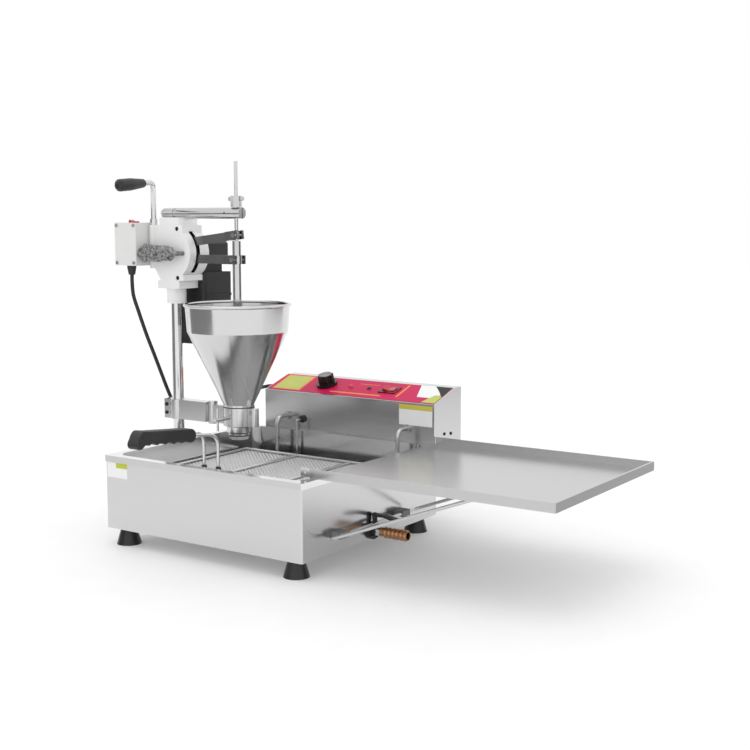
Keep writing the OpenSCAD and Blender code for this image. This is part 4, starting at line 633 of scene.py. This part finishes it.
def sleeve_radius(a):
    """The sleeve's radius at a place along it, before it is crumpled."""
    (a0, r0), (a1, r1) = next(pair for pair in zip(SLEEVE_R, SLEEVE_R[1:]) if a <= pair[1][0])
    return r0 + (r1 - r0) * (a - a0) / (a1 - a0)


def crumpled(i, w):
    """The sleeve's radius in metres, pinched, puffed and dented unevenly."""
    a = min(SLEEVE_STEP * i, SLEEVE_L)
    fold = sum(depth * math.sin(count * w + a / pitch + start) for depth, count, pitch, start in STRANDS)
    fold += dents.uniform(-DENT, DENT)
    fold *= min(1.0, max(0.0, (PLAIN_FROM - a) / PLAIN_FADE))
    return sleeve_radius(a) * (1 + fold) / 1000.0


bm = bmesh.new()
tube(bm, sleeve_line, crumpled, SLEEVE_SIDES)
sleeve = piece("wiring_sleeve", bm, foil, "depositor", smooth=False)
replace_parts(sleeve, "wiring_conduit")

# Prints on the control panel, in millimetres along it, up its slope and off its face

SLOPE = math.radians(17.6223)
PANEL_O = row(17, 464, 267.5)    # the middle of its front edge
PANEL_U = Vector((1, 0, 0))
PANEL_V = Vector((0, math.cos(SLOPE), math.sin(SLOPE)))
PANEL_N = Vector((0, -math.sin(SLOPE), math.cos(SLOPE)))
FILM = 0.6       # thickness of the panel's film
PRINT = 0.12     # thickness of one print


def panel(u, v, h):
    return PANEL_O + (PANEL_U * u + PANEL_V * v + PANEL_N * h) / 1000.0


def printed(name, mat, corners, layer=0):
    bm = bmesh.new()
    plate(bm, [panel(u, v, FILM + layer * PRINT) for u, v in corners], PANEL_N, PRINT / 1000.0)
    piece(name, bm, mat, "fryer", smooth=False)


printed("print_frame", film_orange, [(-212, 8), (-135, 8), (-139, 83), (-216, 83)])
printed("print_field", film_lime, [(-207.5, 12), (-140, 12), (-143.5, 79), (-211, 79)], 1)
printed("print_line_front", film_orange, [(-55, 15.5), (78, 15.5), (78, 20.5), (-55, 20.5)])
printed("print_line_side", film_orange, [(116, 20), (121, 20), (121, 80), (116, 80)])
printed("print_line_back", film_orange, [(-4, 66), (48, 66), (48, 68), (-4, 68)])
printed("print_end", film_white, [(166, 29), (205, 29), (223, 60), (223, 86), (145, 86)])
printed("print_end_field", film_lime, [(190, 6), (223, 6), (223, 44), (205, 44), (197, 28)], 1)
printed("print_end_wedge", film_black, [(205, 60), (223, 36), (223, 86), (182, 86)], 2)

# Blank stickers (mm)

STICKER = 0.15       # thickness
HEAD_FRONT = 464     # Y of the control head's front
CASING_FRONT = 1.8   # Y of the casing's front


def sticker(name, mat, x0, x1, z0, z1, y, layer=0):
    bm = bmesh.new()
    corners = [row(x, y - layer * STICKER, z) for x, z in ((x0, z0), (x1, z0), (x1, z1), (x0, z1))]
    plate(bm, corners, Vector((0, -1, 0)), STICKER / 1000.0)
    piece(name, bm, mat, "fryer", smooth=False)


sticker("head_sticker", film_white, 156, 239, 219.5, 263, HEAD_FRONT)
sticker("head_sticker_band", film_yellow, 156, 239, 253, 263, HEAD_FRONT, 1)
sticker("front_sticker", film_white, -243, -188, 139, 169, CASING_FRONT)
sticker("front_sticker_band", film_fresh, -219, -188, 159, 169, CASING_FRONT, 1)


# Fasteners and small parts

def screw(bm, origin, axis, r, h):
    """A domed screw head with a hollow in its top."""
    shares = ((1, 0), (1, 0.4), (0.8, 0.8), (0.45, 1), (0.4, 0.75))
    turned(bm, origin, axis, [(r * across, h * up) for across, up in shares], 20)


HEAD_SIDE = 243.5    # X of the control head's right side
bm = bmesh.new()
for y, z in ((506, 200.5), (533, 198)):
    screw(bm, row(HEAD_SIDE, y, z), (1, 0, 0), r=0.0036, h=0.0022)
piece("head_side_screws", bm, steel_dark, "fryer")

(_, BOLT_Y0, _), (_, BOLT_Y1, _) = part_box("arm_bolts")
BOLT_X = COLUMN_X - 22
BOLT_ZS = (238, 256)
BOLT_SEAT = 0.005    # from the end of a bolt in the CAD to its head's seat
BOLT_HEAD = in_metres((
    (2.9, -14), (2.9, 0), (3.8, 0), (3.8, 1.8), (3.2, 2.4), (2.0, 2.4), (1.9, 1.2), (0.2, 1.2)))
bm = bmesh.new()
for z in BOLT_ZS:
    for y, out in ((BOLT_Y0 + BOLT_SEAT, -1), (BOLT_Y1 - BOLT_SEAT, 1)):
        seat = row(BOLT_X, 0, z)
        seat.y = y
        turned(bm, seat, (0, out, 0), BOLT_HEAD, 20)
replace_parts(piece("arm_bolt_heads", bm, steel_dark, "depositor"), "arm_bolts")

# Dark seals at the hopper's neck, under the clamp ring and at the steps of the nozzle
(NOZZLE_X0, NOZZLE_Y0, _), (NOZZLE_X1, NOZZLE_Y1, NOZZLE_TOP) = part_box("nozzle_cylinder")
SEALS = ((32.0, 0.2), (25.5, -40), (22.0, -54), (22.0, -60))   # radius of the seat, height from the top
SEAL = 1.8           # height of a seal
SEAL_SUNK = 0.4      # how far it reaches into its seat
SEAL_EDGE = 0.8      # how far its edges and its middle stand out
SEAL_PROUD = 1.1
bm = bmesh.new()
for seat, drop in SEALS:
    middle = Vector(((NOZZLE_X0 + NOZZLE_X1) / 2, (NOZZLE_Y0 + NOZZLE_Y1) / 2, NOZZLE_TOP + drop / 1000))
    hoop(bm, middle, in_metres((
        (seat - SEAL_SUNK, 0), (seat + SEAL_EDGE, 0), (seat + SEAL_PROUD, SEAL / 2),
        (seat + SEAL_EDGE, SEAL), (seat - SEAL_SUNK, SEAL))))
piece("nozzle_seals", bm, rubber_black, "depositor")

HANDLE_X = 9         # middle of the screen's handle, and its wires' place on each side
HANDLE_DX = 18
HANDLE_Y = 30
HANDLE_SLEEVE_Z = 174
HANDLE_SLEEVE = in_metres((
    (3.1, 0), (4.4, 0.3), (5.3, 1.6), (5.5, 5), (5.3, 8.6), (4.2, 10.4), (3.1, 10.8)))
bm = bmesh.new()
for side in (-1, 1):
    turned(bm, row(HANDLE_X + side * HANDLE_DX, HANDLE_Y, HANDLE_SLEEVE_Z), (0, 0, 1), HANDLE_SLEEVE, 24)
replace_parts(piece("handle_sleeve_pair", bm, rubber_black, "screen"), "handle_sleeves")

GROMMET_PLACE = row(-102, 465, 207.5)
GROMMET = in_metres(((8.5, 0), (8.5, 5.5), (7.8, 6.6), (6.0, 7.2), (3.2, 7.4), (0.2, 7.4)))
bm = bmesh.new()
turned(bm, GROMMET_PLACE, (0, -1, 0), GROMMET, 28)
piece("probe_grommet", bm, rubber_black, "fryer")

FORK_SCREWS = (row(-84.5, 221, 565), row(-84.5, 221, 575))
bm = bmesh.new()
for place in FORK_SCREWS:
    screw(bm, place, (1, 0, 0), r=0.0019, h=0.0016)
piece("fork_screws", bm, steel_dark, "lower_lever")

EAR_PLACE = row(221, 49.2, 193)
EAR_SIZE = (0.021, 0.0168)
EAR_HOLE_R = 0.0032
EAR_T = 0.0013
bm = bmesh.new()
holed(bm, EAR_PLACE, Vector((1, 0, 0)), Vector((0, 0, 1)), EAR_SIZE, EAR_HOLE_R, EAR_T)
piece("tray_ear", bm, steel_wire, "tray", smooth=False)

CONTROLS_V = 48      # how far up the panel's slope its knob and lamps sit
KNOB_U = -84
KNOB_LIFT = 0.6      # off the film
KNOB_H = 24.0
KNOB_CAP = in_metres((
    (14.6, 0), (14.6, 1.0), (14.0, 1.7), (13.2, 1.7), (12.4, 1.2), (11.6, 0.7), (8, 0.45), (0.5, 0.4)))
bm = bmesh.new()
turned(bm, panel(KNOB_U, CONTROLS_V, FILM + KNOB_LIFT + KNOB_H), PANEL_N, KNOB_CAP, 48)
piece("knob_cap", bm, cap_metal, "knob")

LAMP = in_metres((
    (5.5, 0), (5.5, 1.5), (5.1, 2.0), (4.6, 2.1), (4.5, 3.0), (3.9, 4.2), (2.8, 5.0), (1.4, 5.5),
    (0.2, 5.6)))
for name, u, mat in (("lamp_lit", -18, lamp_red), ("lamp_dark", 31, lamp_dark)):
    bm = bmesh.new()
    turned(bm, panel(u, CONTROLS_V, 0.0), PANEL_N, LAMP)
    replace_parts(piece(name, bm, mat, "fryer"), "indicator_lamps")

rounded("main_rocker_moulded", "main_rocker", gloss_red, "main_rocker", 0.0007, 4)
rounded("head_rocker_moulded", "head_rocker", gloss_red, "head_rocker", 0.0005, 4)


# Stage, light and world

def lit_for_eye(mat, strength):
    """The floor takes the object's shadow, and reads as white to the eye and in reflections."""
    tree = mat.node_tree
    shader = shader_of(mat)
    path = tree.nodes.new("ShaderNodeLightPath")
    seen = path.outputs["Is Camera Ray"]
    for name in ("Is Glossy Ray", "Is Transmission Ray"):
        seen = reckoned(tree, "MAXIMUM", seen, path.outputs[name])
    tree.links.new(reckoned(tree, "MULTIPLY", seen, strength), shader.inputs["Emission Strength"])
    shader.inputs["Emission Color"].default_value = (1, 1, 1, 1)


UP = Vector((0, 0, 1))
FLOOR_REACH = 14     # metres to each side
FLOOR_T = 0.02
FLOOR_GLOW = 0.12

bm = bmesh.new()
plate(bm, [Vector((x * FLOOR_REACH, y * FLOOR_REACH, -FLOOR_T))
           for x, y in ((-1, -1), (1, -1), (1, 1), (-1, 1))], UP, FLOOR_T)
floor_mesh = bpy.data.meshes.new("floor")
bm.to_mesh(floor_mesh)
bm.free()
floor = linked("floor", floor_mesh)
floor_mat = plastic("floor_white", neutral(0.84), neutral(0.86), (0.6, 0.7), 400.0, 0.01)
lit_for_eye(floor_mat, FLOOR_GLOW)
floor_mesh.materials.append(floor_mat)

# Low boards on both sides, outside the view, give the column and the rods their darker edges.
# Name, bearing from the column in degrees, distance, width and tone
BOARDS = (("board_left", -138, 1.65, 2.5, 0.24), ("board_right", 36, 3.2, 3.6, 0.12))
BOARD_H = 0.7
BOARD_AIM = row(COLUMN_X, COLUMN_Y, 0) + BOARD_H / 2 * UP


def board(name, bearing, away, width, tone):
    """A dark board that faces the column and only shows in reflections."""
    turn = math.radians(bearing)
    x, y = width / 2, BOARD_H / 2
    mesh = bpy.data.meshes.new(name)
    mesh.from_pydata([(-x, -y, 0), (x, -y, 0), (x, y, 0), (-x, y, 0)], [], [(0, 1, 2, 3)])
    mesh.materials.append(plastic(name + "_cloth", grey(tone), grey(tone * 1.1), (0.8, 0.9), 300.0, 0.02))
    obj = linked(name, mesh)
    obj.location = BOARD_AIM + away * Vector((math.cos(turn), math.sin(turn), 0.0))
    obj.rotation_euler = (BOARD_AIM - obj.location).to_track_quat("Z", "Y").to_euler()
    for flag in ("visible_camera", "visible_diffuse", "visible_shadow", "visible_transmission"):
        setattr(obj, flag, False)


for settings in BOARDS:
    board(*settings)

SUN_ENERGY = 0.35
SUN_SPREAD = 45              # degrees
SUN_FROM = Vector((-0.2, -0.1, 1.0))

sun = bpy.data.lights.new("key", "SUN")
sun.energy = SUN_ENERGY
sun.angle = math.radians(SUN_SPREAD)
key = linked("key", sun)
key.rotation_euler = SUN_FROM.to_track_quat("Z", "Y").to_euler()

world = bpy.data.worlds.new("studio")
scene.world = world
world.use_nodes = True
tree = world.node_tree
tree.nodes.clear()
out = tree.nodes.new("ShaderNodeOutputWorld")
back = tree.nodes.new("ShaderNodeBackground")
tree.links.new(back.outputs[0], out.inputs[0])
back.inputs["Color"].default_value = (1, 1, 1, 1)
back.inputs["Strength"].default_value = 1.0

scene.view_settings.view_transform = "Standard"
